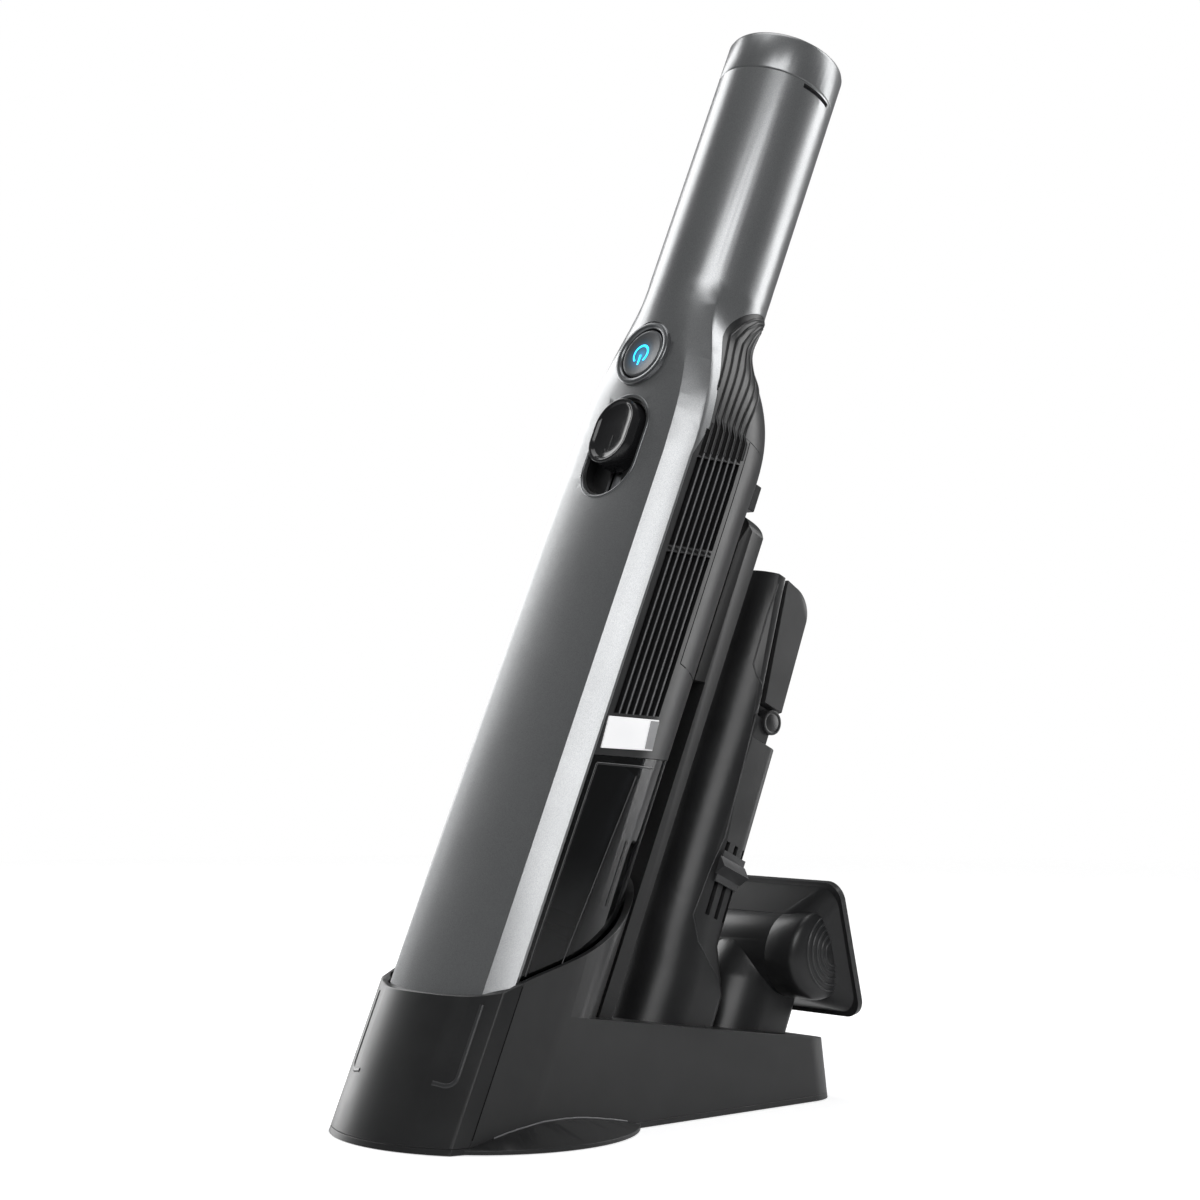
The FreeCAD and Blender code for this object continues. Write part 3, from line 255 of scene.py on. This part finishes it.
MATERIALS = {
    "lit_button": lit_button("lit_button", (0.13, 0.135, 0.14),
                             lean(SIGN_ACROSS, -0.7, POWER_HEIGHT - 0.5)),
    "button_light": glowing("button_light", (0.01, 0.42, 0.85), 4.0),
    # Painted highlight: a grey a little lighter than the dock and tool plastic, for beads that
    # stand in for highlights along edges.
    "badge_grey": moulded("badge_grey", (0.42, 0.42, 0.43), 0.35, depth=SMOOTH),
    "painted_edge_highlight": moulded("painted_edge_highlight", (0.040, 0.0405, 0.042), 0.30, depth=SMOOTH),
    "tab_plastic": moulded("tab_plastic", (0.060, 0.0605, 0.062), 0.34),
    # Painted highlight: light grey for beads that stand in for highlights on the vent ribs' edges
    # and the foot's edge.
    "painted_highlight_lines": moulded("painted_highlight_lines", (0.16, 0.16, 0.165), 0.3, depth=SMOOTH),
    # Near black for dark parting lines, and also for painted shade in the vent grooves.
    "seam_and_groove_shade": moulded("seam_and_groove_shade", (0.004, 0.004, 0.004), 0.8, specular=0.1),
    "gunmetal_paint": metallic_paint("gunmetal_paint", (0.30, 0.305, 0.31), 0.29),
    "cap_paint": metallic_paint("cap_paint", (0.29, 0.295, 0.30), 0.31),
    "charcoal_plastic": moulded("charcoal_plastic", (0.016, 0.0163, 0.017), 0.34),
    "trim_ring": metallic_paint("trim_ring", (0.16, 0.165, 0.17), 0.28),
    "button_plastic": metallic_paint("button_plastic", (0.13, 0.135, 0.14), 0.30),
    "gloss_black": moulded("gloss_black", (0.012, 0.012, 0.013), 0.14, depth=0.000004),
    "smoked_clear": smoked_clear(),
    # The badge is no lamp: its glow of 0.35 is painted light that brightens the white.
    "badge_white": moulded("badge_white", (0.93, 0.93, 0.94), 0.35, depth=SMOOTH, glow=0.35),
    "dock_plastic": moulded("dock_plastic", (0.0185, 0.0187, 0.0192), 0.37),
    "tool_plastic": moulded("tool_plastic", (0.017, 0.0172, 0.018), 0.33),
    "tool_plastic_light": moulded("tool_plastic_light", (0.030, 0.0303, 0.031), 0.36),
    "bristle_nylon": moulded("bristle_nylon", (0.020, 0.020, 0.021), 0.5),
    "steel": bare_metal("steel", (0.55, 0.56, 0.58), 0.25),
    "brass": bare_metal("brass", (0.78, 0.60, 0.28), 0.22),
    "rubber": moulded("rubber", (0.018, 0.018, 0.019), 0.75),
    "filter_felt": felt(),
    "board": moulded("board", (0.02, 0.11, 0.05), 0.4),
    "inner_plastic": moulded("inner_plastic", (0.018, 0.018, 0.020), 0.5),
    "cell_wrap": moulded("cell_wrap", (0.05, 0.14, 0.30), 0.3),
}
SLOT_OF = {part["node"]: part["material_slot"] for part in frame["record"]["subparts"]}
BODY_OF = {node: body for body, nodes in frame["record"]["behaviour"]["bodies"].items()
           for node in nodes}
for node, obj in NODES.items():
    obj.data.materials.clear()
    obj.data.materials.append(MATERIALS[SLOT_OF[node]])


# ---------------------------------------------------------------- mesh helpers
SHARP_ANGLE = math.radians(40)      # edges sharper than this are not smoothed over
ROUNDED_ANGLE = math.radians(28)    # edges sharper than this are rounded


def piece(name, bm, body, slot, material=None, stands_for=()):
    """Turn a bmesh into a finished object that rides on a body."""
    bmesh.ops.recalc_face_normals(bm, faces=bm.faces)
    mesh = bpy.data.meshes.new(name)
    bm.to_mesh(mesh)
    bm.free()
    mesh.materials.append(MATERIALS[material or slot])
    mesh.polygons.foreach_set("use_smooth", [True] * len(mesh.polygons))
    mesh.set_sharp_from_angle(angle=SHARP_ANGLE)
    obj = bpy.data.objects.new(name, mesh)
    scene.collection.objects.link(obj)
    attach(obj, body)
    if stands_for:
        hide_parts(*stands_for)
    return obj


def applied(obj):
    """Replace an object's mesh by the result of its modifiers."""
    result = bpy.data.meshes.new_from_object(obj.evaluated_get(
        bpy.context.evaluated_depsgraph_get()))
    obj.modifiers.clear()
    obj.data = result


def refined(node, width, material=None):
    """A copy of a CAD node with its hard edges rounded, standing for the node."""
    bm = bmesh.new()
    bm.from_mesh(NODES[node].data)
    bmesh.ops.remove_doubles(bm, verts=bm.verts, dist=0.01 * MM)
    bmesh.ops.dissolve_limit(bm, angle_limit=math.radians(0.4), verts=bm.verts, edges=bm.edges)
    obj = piece(node + "_rounded", bm, BODY_OF[node], SLOT_OF[node], material,
                stands_for=(node,))
    bevel = obj.modifiers.new("bevel", "BEVEL")
    bevel.width = width * MM
    bevel.segments = 2
    bevel.limit_method = "ANGLE"
    bevel.angle_limit = ROUNDED_ANGLE
    bevel.harden_normals = True
    applied(obj)


class Skin:
    """The surface of some CAD nodes, for laying fine details on."""

    def __init__(self, *nodes):
        places, faces = [], []
        for node in nodes:
            mesh = NODES[node].data
            base = len(places)
            places += [vertex.co.copy() for vertex in mesh.vertices]
            faces += [[base + index for index in face.vertices] for face in mesh.polygons]
        self.tree = BVHTree.FromPolygons(places, faces)

    def trace(self, rays):
        """Where rays (start, way) meet the surface: a list of places with their normals."""
        found = []
        for start, way in rays:
            place, normal, _, _ = self.tree.ray_cast(start, way)
            if place is not None:
                found.append((place, normal if normal.dot(way) < 0 else -normal))
        return found


def bead(bm, trail, width, height, closed=False, sink=0.15):
    """A rounded bead along a trail of (place, normal), sunk a little into the surface; in mm."""
    profile = [(-0.5, -sink), (-0.5, 0.0), (-0.34, 0.68 * height), (0.0, height),
               (0.34, 0.68 * height), (0.5, 0.0), (0.5, -sink)]
    rings = []
    count = len(trail)
    for index, (place, normal) in enumerate(trail):
        after = trail[(index + 1) % count if closed else min(index + 1, count - 1)][0]
        before = trail[index - 1 if closed else max(index - 1, 0)][0]
        side = (after - before).cross(normal).normalized()
        rings.append([bm.verts.new(place + side * (u * width * MM) + normal * (v * MM))
                      for u, v in profile])
    size = len(profile)
    for index in range(count if closed else count - 1):
        a, b = rings[index], rings[(index + 1) % count]
        for k in range(size):
            bm.faces.new((a[k], a[(k + 1) % size], b[(k + 1) % size], b[k]))
    if not closed:
        bm.faces.new(rings[0])
        bm.faces.new(rings[-1])


def turned(bm, profile, centre, axis, start, segments=64):
    """A turned shape: profile of (radius, along) in mm about an axis through centre."""
    across = axis.cross(start)
    rings = []
    for radius, along in profile:
        middle = centre + axis * (along * MM)
        if radius == 0:
            rings.append([bm.verts.new(middle)])
            continue
        rings.append([bm.verts.new(middle + (start * math.cos(turn) + across * math.sin(turn))
                                   * (radius * MM))
                      for turn in (2 * math.pi * k / segments for k in range(segments))])
    pairs = list(zip(rings, rings[1:]))
    if len(rings[0]) > 1 and len(rings[-1]) > 1:
        pairs.append((rings[-1], rings[0]))
    for a, b in pairs:
        for k in range(segments):
            corners = [a[k % len(a)], a[(k + 1) % len(a)], b[(k + 1) % len(b)], b[k % len(b)]]
            unique = list(dict.fromkeys(corners))
            if len(unique) > 2:
                bm.faces.new(unique)


def plate(bm, outline, thickness, way):
    """A thin plate: outline of world points, thickened along a direction (mm)."""
    bottom = [bm.verts.new(place) for place in outline]
    top = [bm.verts.new(place + way * (thickness * MM)) for place in outline]
    bm.faces.new(bottom)
    bm.faces.new(top)
    for k in range(len(outline)):
        after = (k + 1) % len(outline)
        bm.faces.new((bottom[k], bottom[after], top[after], top[k]))


def between(points, spacing):
    """Points at an even spacing along straight runs between 2-D points."""
    result = []
    for (ax, ay), (bx, by) in zip(points, points[1:]):
        steps = max(1, round(math.hypot(bx - ax, by - ay) / spacing))
        result += [(ax + (bx - ax) * k / steps, ay + (by - ay) * k / steps)
                   for k in range(steps)]
    return result + [points[-1]]


def upright(skin, side, m, low, high, spacing):
    """A trail on one side of a skin, from low to high at depth m."""
    return skin.trace([inwards(side, m, s) for _, s in between([(0, low), (0, high)], spacing)])


# ---------------------------------------------------------------- vacuum details
def grip_edge(s):
    """Where the finger grip meets the front cover: depth at a height."""
    line = [(240, 14.3), (282, 14.5), (288.5, 18.3), (293.9, 24.5), (297.6, 33.0), (299.6, 43.2)]
    for (s0, m0), (s1, m1) in zip(line, line[1:]):
        if s <= s1:
            return m0 + (m1 - m0) * (s - s0) / (s1 - s0)
    return line[-1][1]


def grip_ribs():
    """Ribs that rise straight from the vents and then fan out round the grip to its tip."""
    skin = Skin("finger_grip", "side_housing", "rear_panel")
    centre, radius, half_width = 20.4, 22.8, 31.2       # of the handle, and of the body below
    straight_from, straight_to = 229.5, 245.5
    fan_from, fan_height, fan_steps = 246.0, 52.4, 45
    fanned_after, fan_parts = 50.0, 10.0
    bm = bmesh.new()
    for side in SIDES:
        for rib in range(7):
            m = FIRST_RIB + RIB_PITCH * rib
            low = straight_from + vent_rise(m)
            rays = [inwards(side, m, low + (straight_to - low) * k / 5) for k in range(5)]
            edge = math.asin((grip_edge(fan_from) - centre) / half_width)
            start = (math.atan2(m - centre, half_width) - edge) / (math.pi / 2 - edge)
            for step in range(fan_steps + 1):
                s = fan_from + step * fan_height / fan_steps
                sine = (grip_edge(s) - centre) / radius
                edge = math.asin(max(-1.0, min(1.0, sine)))
                blend = min(1.0, (s - fan_from) / fanned_after)
                blend = blend * blend * (3 - 2 * blend)
                share = start + ((rib + 1) / fan_parts - start) * blend
                turn = edge + (math.pi / 2 - edge) * share
                way = ACROSS * (side * math.cos(turn)) + REARWARD * math.sin(turn)
                rays.append((lean(0, centre, s) + way * (60 * MM), -way))
            bead(bm, skin.trace(rays), 1.25, 0.5, sink=0.05)
    piece("finger_grip_ribs", bm, "vacuum", "charcoal_plastic")


def power_details():
    """Turned trim ring and dished button, with a lit standby sign on it."""
    centre = lean(0, 0, POWER_HEIGHT)
    bm = bmesh.new()
    turned(bm, [(12.98, 3.4), (12.98, -1.2), (12.7, -1.62), (12.2, -1.8), (11.1, -1.8),
                (10.6, -1.5), (10.2, -0.7), (10.15, 3.4)], centre, REARWARD, ACROSS)
    piece("power_ring_turned", bm, "vacuum", "trim_ring", stands_for=("power_button_ring",))

    bm = bmesh.new()
    turned(bm, [(0, -0.55), (3.0, -0.62), (6.0, -0.85), (8.6, -1.2), (9.3, -1.25), (9.65, -1.0),
                (9.8, -0.5), (9.8, 4.1), (11.2, 4.1), (11.2, 5.3), (2.2, 5.3), (2.2, 9.8),
                (0, 9.8)], centre, REARWARD, ACROSS)
    piece("power_button_dished", bm, "power_button", "button_plastic", "lit_button",
          stands_for=("power_button",))

    level, radius, line = -0.68, 3.5, 0.85
    open_from, open_sweep, arc_steps = -52, 284, 40
    bm = bmesh.new()
    arc = []
    for step in range(arc_steps + 1):
        turn = math.radians(open_from + step * open_sweep / arc_steps)
        arc.append((lean(radius * math.cos(turn) + SIGN_ACROSS, level,
                         POWER_HEIGHT + radius * math.sin(turn)), -REARWARD))
    bead(bm, arc, line, 0.12)
    bar = [(lean(SIGN_ACROSS, level, POWER_HEIGHT - 0.4 - 1.4 * k), -REARWARD)
           for k in range(4)]
    bead(bm, bar, line, 0.12)
    piece("standby_sign", bm, "power_button", "button_plastic", "button_light")


def capsule(radius, m, top, bottom, count, phase=0.0):
    """Points round a slot-shaped outline at depth m; top and bottom are its arcs' centres."""
    points = []
    for step in range(count):
        turn = 2 * math.pi * (step + phase) / count
        middle = top if math.sin(turn) >= 0 else bottom
        points.append(lean(radius * math.cos(turn), m, middle + radius * math.sin(turn)))
    return points


def recess_rim():
    """Rim round the ejector's recess in the front cover."""
    skin = Skin("front_cover")
    outline = capsule(13.75, -20, top=235.0, bottom=221.0, count=96)
    rays = [(place, REARWARD) for place in outline]
    bm = bmesh.new()
    bead(bm, skin.trace(rays), 1.1, 0.35, closed=True)
    piece("recess_rim", bm, "vacuum", "trim_ring")


def ejector_knob():
    """Dished knob with its stem, and a small plain arrow on it."""
    count = 64
    loops = [(10.4, 5.4), (10.4, -2.9), (10.15, -3.3), (9.8, -3.4), (9.2, -3.4), (8.9, -3.25),
             (8.5, -2.7), (7.6, -2.1), (5.0, -1.7), (2.0, -1.6)]
    bm = bmesh.new()
    rings = [[bm.verts.new(place) for place in capsule(radius, m, 235.8, 230.0, count, 0.5)]
             for radius, m in loops]
    for a, b in zip(rings, rings[1:]):
        for k in range(count):
            bm.faces.new((a[k], a[(k + 1) % count], b[(k + 1) % count], b[k]))
    bm.faces.new(rings[0])
    bm.faces.new(rings[-1])
    for vertex in bmesh.ops.create_cube(bm, size=1.0)["verts"]:
        x, m, s = vertex.co
        vertex.co = lean(5.2 * x, 7.3 + 4.6 * m, 227.5 + 11.0 * s)
    piece("ejector_knob_dished", bm, "ejector", "gloss_black", stands_for=("ejector_knob",))

    head, shaft = [(-2.2, 226.0), (0, 223.6), (2.2, 226.0)], [(0, 224.2), (0, 231.5)]
    bm = bmesh.new()
    for points in (head, shaft):
        bead(bm, [(lean(x, -1.66, s), -REARWARD) for x, s in between(points, 0.8)], 0.55, 0.12)
    piece("knob_arrow", bm, "ejector", "gloss_black", "charcoal_plastic")


def badge_details():
    """Grey end of each blank badge."""
    outline = ((29.8, 132.1), (33.5, 133.4), (34.5, 123.1), (31.0, 121.9))
    bm = bmesh.new()
    for side in SIDES:
        plate(bm, [lean(side * 32.52, m, s) for m, s in outline], 0.16, ACROSS * side)
    piece("badge_end", bm, "vacuum", "badge_white", "badge_grey")


def cup_details():
    """Raised frame, chamber edge and level slot on the clear cup's side walls."""
    skin = Skin("dust_cup")
    frame_top, frame_front = [(13.1, 109.0), (39.0, 118.0)], [(13.1, 109.0), (12.6, 31.0)]
    chamber_edge, level_slot = [(32.0, 112.0), (26.0, 40.0)], [(38.0, 90.0), (38.0, 66.0)]
    lines = ((frame_top, 0.8), (frame_front, 0.8), (chamber_edge, 0.5), (level_slot, 1.6))
    bm = bmesh.new()
    for side in SIDES:
        for points, width in lines:
            rays = [inwards(side, m, s) for m, s in between(points, 4.0)]
            bead(bm, skin.trace(rays), width, 0.22)
    piece("cup_frame", bm, "vacuum", "smoked_clear", "gloss_black")


def seams():
    """Dark parting lines along two edges of the rear panel."""
    skin = Skin("side_housing", "rear_panel")
    front_edge, lower_edge = [(36.0, 157.0), (36.0, 245.5)], [(36.0, 157.0), (52.0, 157.0)]
    bm = bmesh.new()
    for side in SIDES:
        for points in (front_edge, lower_edge):
            rays = [inwards(side, m, s, 60) for m, s in between(points, 2.0)]
            bead(bm, skin.trace(rays), 0.5, 0.03)
    piece("panel_seams", bm, "vacuum", "charcoal_plastic", "seam_and_groove_shade")


def vent_ribs():
    """Painted highlights: fine light-grey beads along the ribs' edges; and painted shade: dark
    strips that carry the slots across the bars.
    """
    skin = Skin("side_housing")
    first_slot = 14.05
    bar, slots_top, grip_bottom = (189.7, 192.8), 227.2, 245.6
    ribs_from, ribs_to = 127.5, 230.0
    ribs, groove_shade = bmesh.new(), bmesh.new()
    for side in SIDES:
        for column in range(7):
            m = first_slot + RIB_PITCH * column
            rise = vent_rise(m)
            for low, high in (bar, (slots_top, grip_bottom - rise)):
                # Painted shade: near-black flat strips over the bar and above the slots stand in
                # for the shade inside grooves.
                bead(groove_shade, upright(skin, side, m, low + rise, high + rise, 1.0), 1.9, 0.04)
        for column in range(6):
            m = FIRST_RIB + RIB_PITCH * column
            rise = vent_rise(m)
            bead(ribs, upright(skin, side, m, ribs_from + rise, ribs_to + rise, 6.0), 0.5, 0.16)
    # The light grey of these beads is a painted highlight along the rib edges.
    piece("vent_rib_painted_highlights", ribs, "vacuum", "charcoal_plastic", "painted_highlight_lines")
    piece("vent_groove_shade", groove_shade, "vacuum", "charcoal_plastic", "seam_and_groove_shade")


def return_spring():
    """Coil spring round the ejector's rod."""
    rod_m, bottom, height, radius = 7.2, 165.4, 30.0, 2.75
    turns, steps_per_turn = 10, 24
    count = turns * steps_per_turn
    bm = bmesh.new()
    trail = []
    for step in range(count + 1):
        turn = math.radians(360 / steps_per_turn * step)
        radial = ACROSS * math.cos(turn) + REARWARD * math.sin(turn)
        trail.append((lean(0, rod_m, bottom + height * step / count) + radial * (radius * MM),
                      radial))
    bead(bm, trail, 0.7, 0.35, sink=0.35)
    spring = piece("ejector_spring_coil", bm, "vacuum", "steel", stands_for=("ejector_spring",))
    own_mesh(spring)


# ---------------------------------------------------------------- dock and tool details
def dock_details():
    """Recessed panel's edge on the dock's front in a lighter grey that is a painted highlight,
    and the shells' parting line.
    """
    skin = Skin("dock_front_shell", "dock_rear_shell")
    edge, corner_s, corner_radius = 28.0, -8.0, 4.0
    corner = [(edge - corner_radius + corner_radius * math.cos(turn),
               corner_s + corner_radius * math.sin(turn))
              for turn in (math.radians(-6 * k) for k in range(16))]
    path = between([(edge, 17.0), (edge, corner_s)], 3.0) + corner + [(20.0, -12.0)]
    bm = bmesh.new()
    for side in SIDES:
        rays = [(lean(side * x, -60, s), REARWARD) for x, s in path]
        bead(bm, skin.trace(rays), 1.6, 0.32)
    # The lighter grey of this bead is a painted highlight along the panel's edge.
    piece("dock_panel_edge", bm, "dock", "dock_plastic", "painted_edge_highlight")

    bm = bmesh.new()
    for side in SIDES:
        rays = [inwards(side, 10.0, s, 90) for _, s in between([(0, -38.0), (0, 30.0)], 3.0)]
        bead(bm, skin.trace(rays), 0.45, 0.03)
    piece("dock_seam", bm, "dock", "dock_plastic", "seam_and_groove_shade")


def foot_edge():
    """Painted highlight: a light-grey line where the dock's side walls meet the flared foot."""
    shell, foot = Skin("dock_rear_shell", "dock_front_shell"), Skin("dock_base_plate")
    rear, length, count = -70.0, 106.0, 54
    level_step, foot_rim = 0.2, 14          # mm, and the level where the foot's flat rim ends
    bm = bmesh.new()
    for side in SIDES:
        trail = []
        for step in range(count):
            y = rear + length * step / (count - 1)
            for level in range(10, 150):
                start = Vector((side * 90, y, level * level_step)) * MM
                ray = [(start, ACROSS * -side)]
                wall, base = shell.trace(ray), foot.trace(ray)
                if wall and (not base or abs(wall[0][0].x) >= abs(base[0][0].x)):
                    if level > foot_rim:
                        trail.append(wall[0])
                    break
        if len(trail) > 3:
            bead(bm, trail, 0.7, 0.25)
    # The light grey of this line is a painted highlight along the foot's edge.
    piece("foot_lens_edge", bm, "dock", "dock_plastic", "painted_highlight_lines")


def hinge_bosses():
    """Closed discs with a raised ring over both ends of the brush arm's hinge."""
    bm = bmesh.new()
    for side in SIDES:
        turned(bm, [(0, 16.7), (3.1, 16.75), (3.35, 16.6), (3.6, 16.75), (4.2, 16.85),
                    (4.6, 16.7), (4.7, 16.3), (4.7, 15.6), (0, 15.6)],
               lean(0, 101.0, 162.2), ACROSS * side, ALONG, 48)
    piece("hinge_bosses", bm, "crevice_tool", "tool_plastic")


def crevice_seam():
    """Fine raised edge where the crevice tool's tube meets its rear cover, in a lighter grey that
    is a painted highlight.
    """
    skin = Skin("crevice_tube", "crevice_rear_cover")
    line = [(86.3, 213.0), (86.3, 200.0), (87.0, 180.0), (89.0, 176.0), (92.0, 174.0),
            (93.2, 170.0), (92.8, 162.0), (94.2, 137.0), (95.6, 114.0), (94.1, 101.6),
            (92.9, 82.3), (97.4, 74.0), (105.7, 68.4), (108.5, 66.8)]
    bm = bmesh.new()
    for side in SIDES:
        rays = [inwards(side, m, s, 40) for m, s in between(line, 1.5)]
        bead(bm, skin.trace(rays), 0.6, 0.2)
    # The lighter grey of this bead is a painted highlight along the seam's edge.
    piece("crevice_seam_edge", bm, "crevice_tool", "tool_plastic", "painted_edge_highlight")


def pet_tool_ends():
    """Domes on both ends of the pet tool's barrel, cut where they meet the head, with arcs in a
    lighter grey that paints their highlights.
    """
    middle = lean(0, 152.1, 92.9)
    tilt = math.radians(-52.6)
    up = REARWARD * math.cos(tilt) + ALONG * math.sin(tilt)
    out = ALONG * math.cos(tilt) - REARWARD * math.sin(tilt)
    axis = middle - out * (10.0 * MM)
    bm = bmesh.new()
    for side in SIDES:
        turned(bm, [(16.0, 18.0), (16.54, 20.0), (16.54, 31.0), (16.2, 32.4), (15.2, 33.7),
                    (13.0, 34.7), (8.0, 35.5), (4.0, 35.8), (0, 35.9)],
               axis, ACROSS * side, up, 72)
    bmesh.ops.bisect_plane(bm, geom=bm.verts[:] + bm.edges[:] + bm.faces[:],
                           plane_co=middle - out * (4.0 * MM), plane_no=out, clear_outer=True)
    domes = piece("pet_tool_domes", bm, "pet_tool", "tool_plastic")

    tree = BVHTree.FromPolygons([v.co.copy() for v in domes.data.vertices],
                                [list(face.vertices) for face in domes.data.polygons])
    largest, pitch, arcs_centre = 14.0, 2.3, 4.5
    sweep_from, sweep, sweep_steps = 96, 168, 36
    bm = bmesh.new()
    for side in SIDES:
        for ring in range(5):
            radius = largest - pitch * ring
            trail = []
            for step in range(sweep_steps + 1):
                angle = math.radians(sweep_from + step * sweep / sweep_steps)
                start = axis + up * (radius * math.sin(angle) * MM) + out * (
                    (arcs_centre + radius * math.cos(angle)) * MM) + ACROSS * (side * 60 * MM)
                place, normal, _, _ = tree.ray_cast(start, ACROSS * -side)
                if place is not None:
                    trail.append((place, normal if normal.x * side > 0 else -normal))
            if len(trail) > 3:
                bead(bm, trail, 0.9, 0.42)
    # The lighter grey of the arcs is a painted highlight.
    piece("pet_tool_arcs", bm, "pet_tool", "tool_plastic", "painted_edge_highlight")


# ---------------------------------------------------------------- all pieces
# Rounded CAD nodes, with the rounding's width in mm.
for node, width in (("dock_front_shell", 0.5), ("dock_rear_shell", 0.5), ("dock_spine", 0.4),
                    ("dock_base_plate", 0.3), ("crevice_tube", 0.4), ("crevice_rear_cover", 0.35),
                    ("brush_arm", 0.5), ("relief_slider", 0.9), ("pet_tool_shell", 0.4),
                    ("front_cover", 0.3), ("side_housing", 0.15), ("rear_panel", 0.25),
                    ("finger_grip", 0.25), ("battery_end_cap", 0.3), ("badge", 0.2),
                    ("cup_release_button", 0.4), ("handle_back_strip", 0.3)):
    refined(node, width, "tab_plastic" if node == "relief_slider" else None)

for detail in (vent_ribs, return_spring, dock_details, foot_edge, hinge_bosses, crevice_seam,
               pet_tool_ends, grip_ribs, power_details, recess_rim, ejector_knob, badge_details,
               cup_details, seams):
    detail()


# ---------------------------------------------------------------- stage, light and camera
def floor():
    """Pale matt disc that fades out to the white background; brighter to the camera's rays."""
    size, fade_from, fade_to, lift_strength = 3.0, 0.35, 1.5, 0.55
    sh = Shader("stage_floor")
    radius = sh.add("ShaderNodeVectorMath", operation="LENGTH")
    sh.link(sh.position(), radius.inputs[0])
    matt = sh.add("ShaderNodeBsdfDiffuse", Color=(0.86, 0.86, 0.865, 1.0))
    ray = sh.add("ShaderNodeLightPath")
    lift = sh.add("ShaderNodeEmission", Color=(1.0, 1.0, 1.0, 1.0))
    sh.link(sh.ranged(ray.outputs["Is Camera Ray"], 0.0, lift_strength), lift.inputs["Strength"])
    solid = sh.add("ShaderNodeAddShader")
    sh.link(matt.outputs[0], solid.inputs[0])
    sh.link(lift.outputs[0], solid.inputs[1])
    clear = sh.add("ShaderNodeBsdfTransparent")
    mix = sh.add("ShaderNodeMixShader")
    sh.link(sh.ranged(radius.outputs["Value"], 0.0, 1.0, fade_from, fade_to), mix.inputs[0])
    sh.link(solid.outputs[0], mix.inputs[1])
    sh.link(clear.outputs[0], mix.inputs[2])
    sh.link(mix.outputs[0], sh.out.inputs["Surface"])
    mesh = bpy.data.meshes.new("stage_floor")
    bm = bmesh.new()
    bmesh.ops.create_circle(bm, cap_ends=True, radius=size, segments=96)
    bm.to_mesh(mesh)
    bm.free()
    mesh.materials.append(sh.material)
    obj = bpy.data.objects.new("stage_floor", mesh)
    obj.location = (0, 0, -0.2 * MM)
    scene.collection.objects.link(obj)


def softbox(name, azimuth, elevation, distance, width, height, strength):
    """A rectangular soft light; azimuth counts from +X towards +Y as seen from the part."""
    a, e = math.radians(azimuth), math.radians(elevation)
    way = Vector((math.cos(a) * math.cos(e), math.sin(a) * math.cos(e), math.sin(e)))
    light = bpy.data.lights.new(name, "AREA")
    light.shape = "RECTANGLE"
    light.size, light.size_y = width, height
    light.energy = strength * width * height * math.pi
    obj = bpy.data.objects.new(name, light)
    obj.location = MIDDLE_OF_PART + way * distance
    obj.rotation_euler = way.to_track_quat("Z", "Y").to_euler()
    scene.collection.objects.link(obj)


def world():
    """White to the camera's rays, and a weak cool fill to all others."""
    w = bpy.data.worlds.new("studio")
    scene.world = w
    w.use_nodes = True
    tree = w.node_tree
    tree.nodes.clear()
    ray = tree.nodes.new("ShaderNodeLightPath")
    seen = tree.nodes.new("ShaderNodeBackground")
    seen.inputs["Color"].default_value = (1.0, 1.0, 1.0, 1.0)
    fill = tree.nodes.new("ShaderNodeBackground")
    fill.inputs["Color"].default_value = (0.97, 0.985, 1.0, 1.0)
    fill.inputs["Strength"].default_value = 0.17
    mix = tree.nodes.new("ShaderNodeMixShader")
    out = tree.nodes.new("ShaderNodeOutputWorld")
    tree.links.new(ray.outputs["Is Camera Ray"], mix.inputs[0])
    tree.links.new(fill.outputs[0], mix.inputs[1])
    tree.links.new(seen.outputs[0], mix.inputs[2])
    tree.links.new(mix.outputs[0], out.inputs["Surface"])


def camera(place, heading, upward, lens):
    """The camera: heading counts from +Y towards -X, and upward from the level, in degrees."""
    data = bpy.data.cameras.new("camera")
    data.lens = lens
    data.sensor_width = 36.0
    data.clip_start = 0.01
    obj = bpy.data.objects.new("camera", data)
    obj.location = place
    a, e = math.radians(heading), math.radians(upward)
    look = Vector((-math.sin(a) * math.cos(e), math.cos(a) * math.cos(e), math.sin(e)))
    obj.rotation_euler = look.to_track_quat("-Z", "Y").to_euler()
    scene.collection.objects.link(obj)
    scene.camera = obj


MIDDLE_OF_PART = Vector((0, 0, 0.2))
floor()
world()
camera((0.6988, -0.6207, 0.1514), heading=48, upward=2, lens=78.0)
# Azimuth and elevation in degrees; distance, width and height in metres; strength.
softbox("left_box", 178, 16, 1.3, 0.62, 1.5, 3.4)
softbox("front_box", 322, 33, 1.5, 0.92, 0.8, 3.5)
softbox("right_strip", 70, 12, 1.4, 0.60, 1.9, 3.4)
softbox("top_box", 150, 80, 1.6, 1.0, 1.0, 2.0)
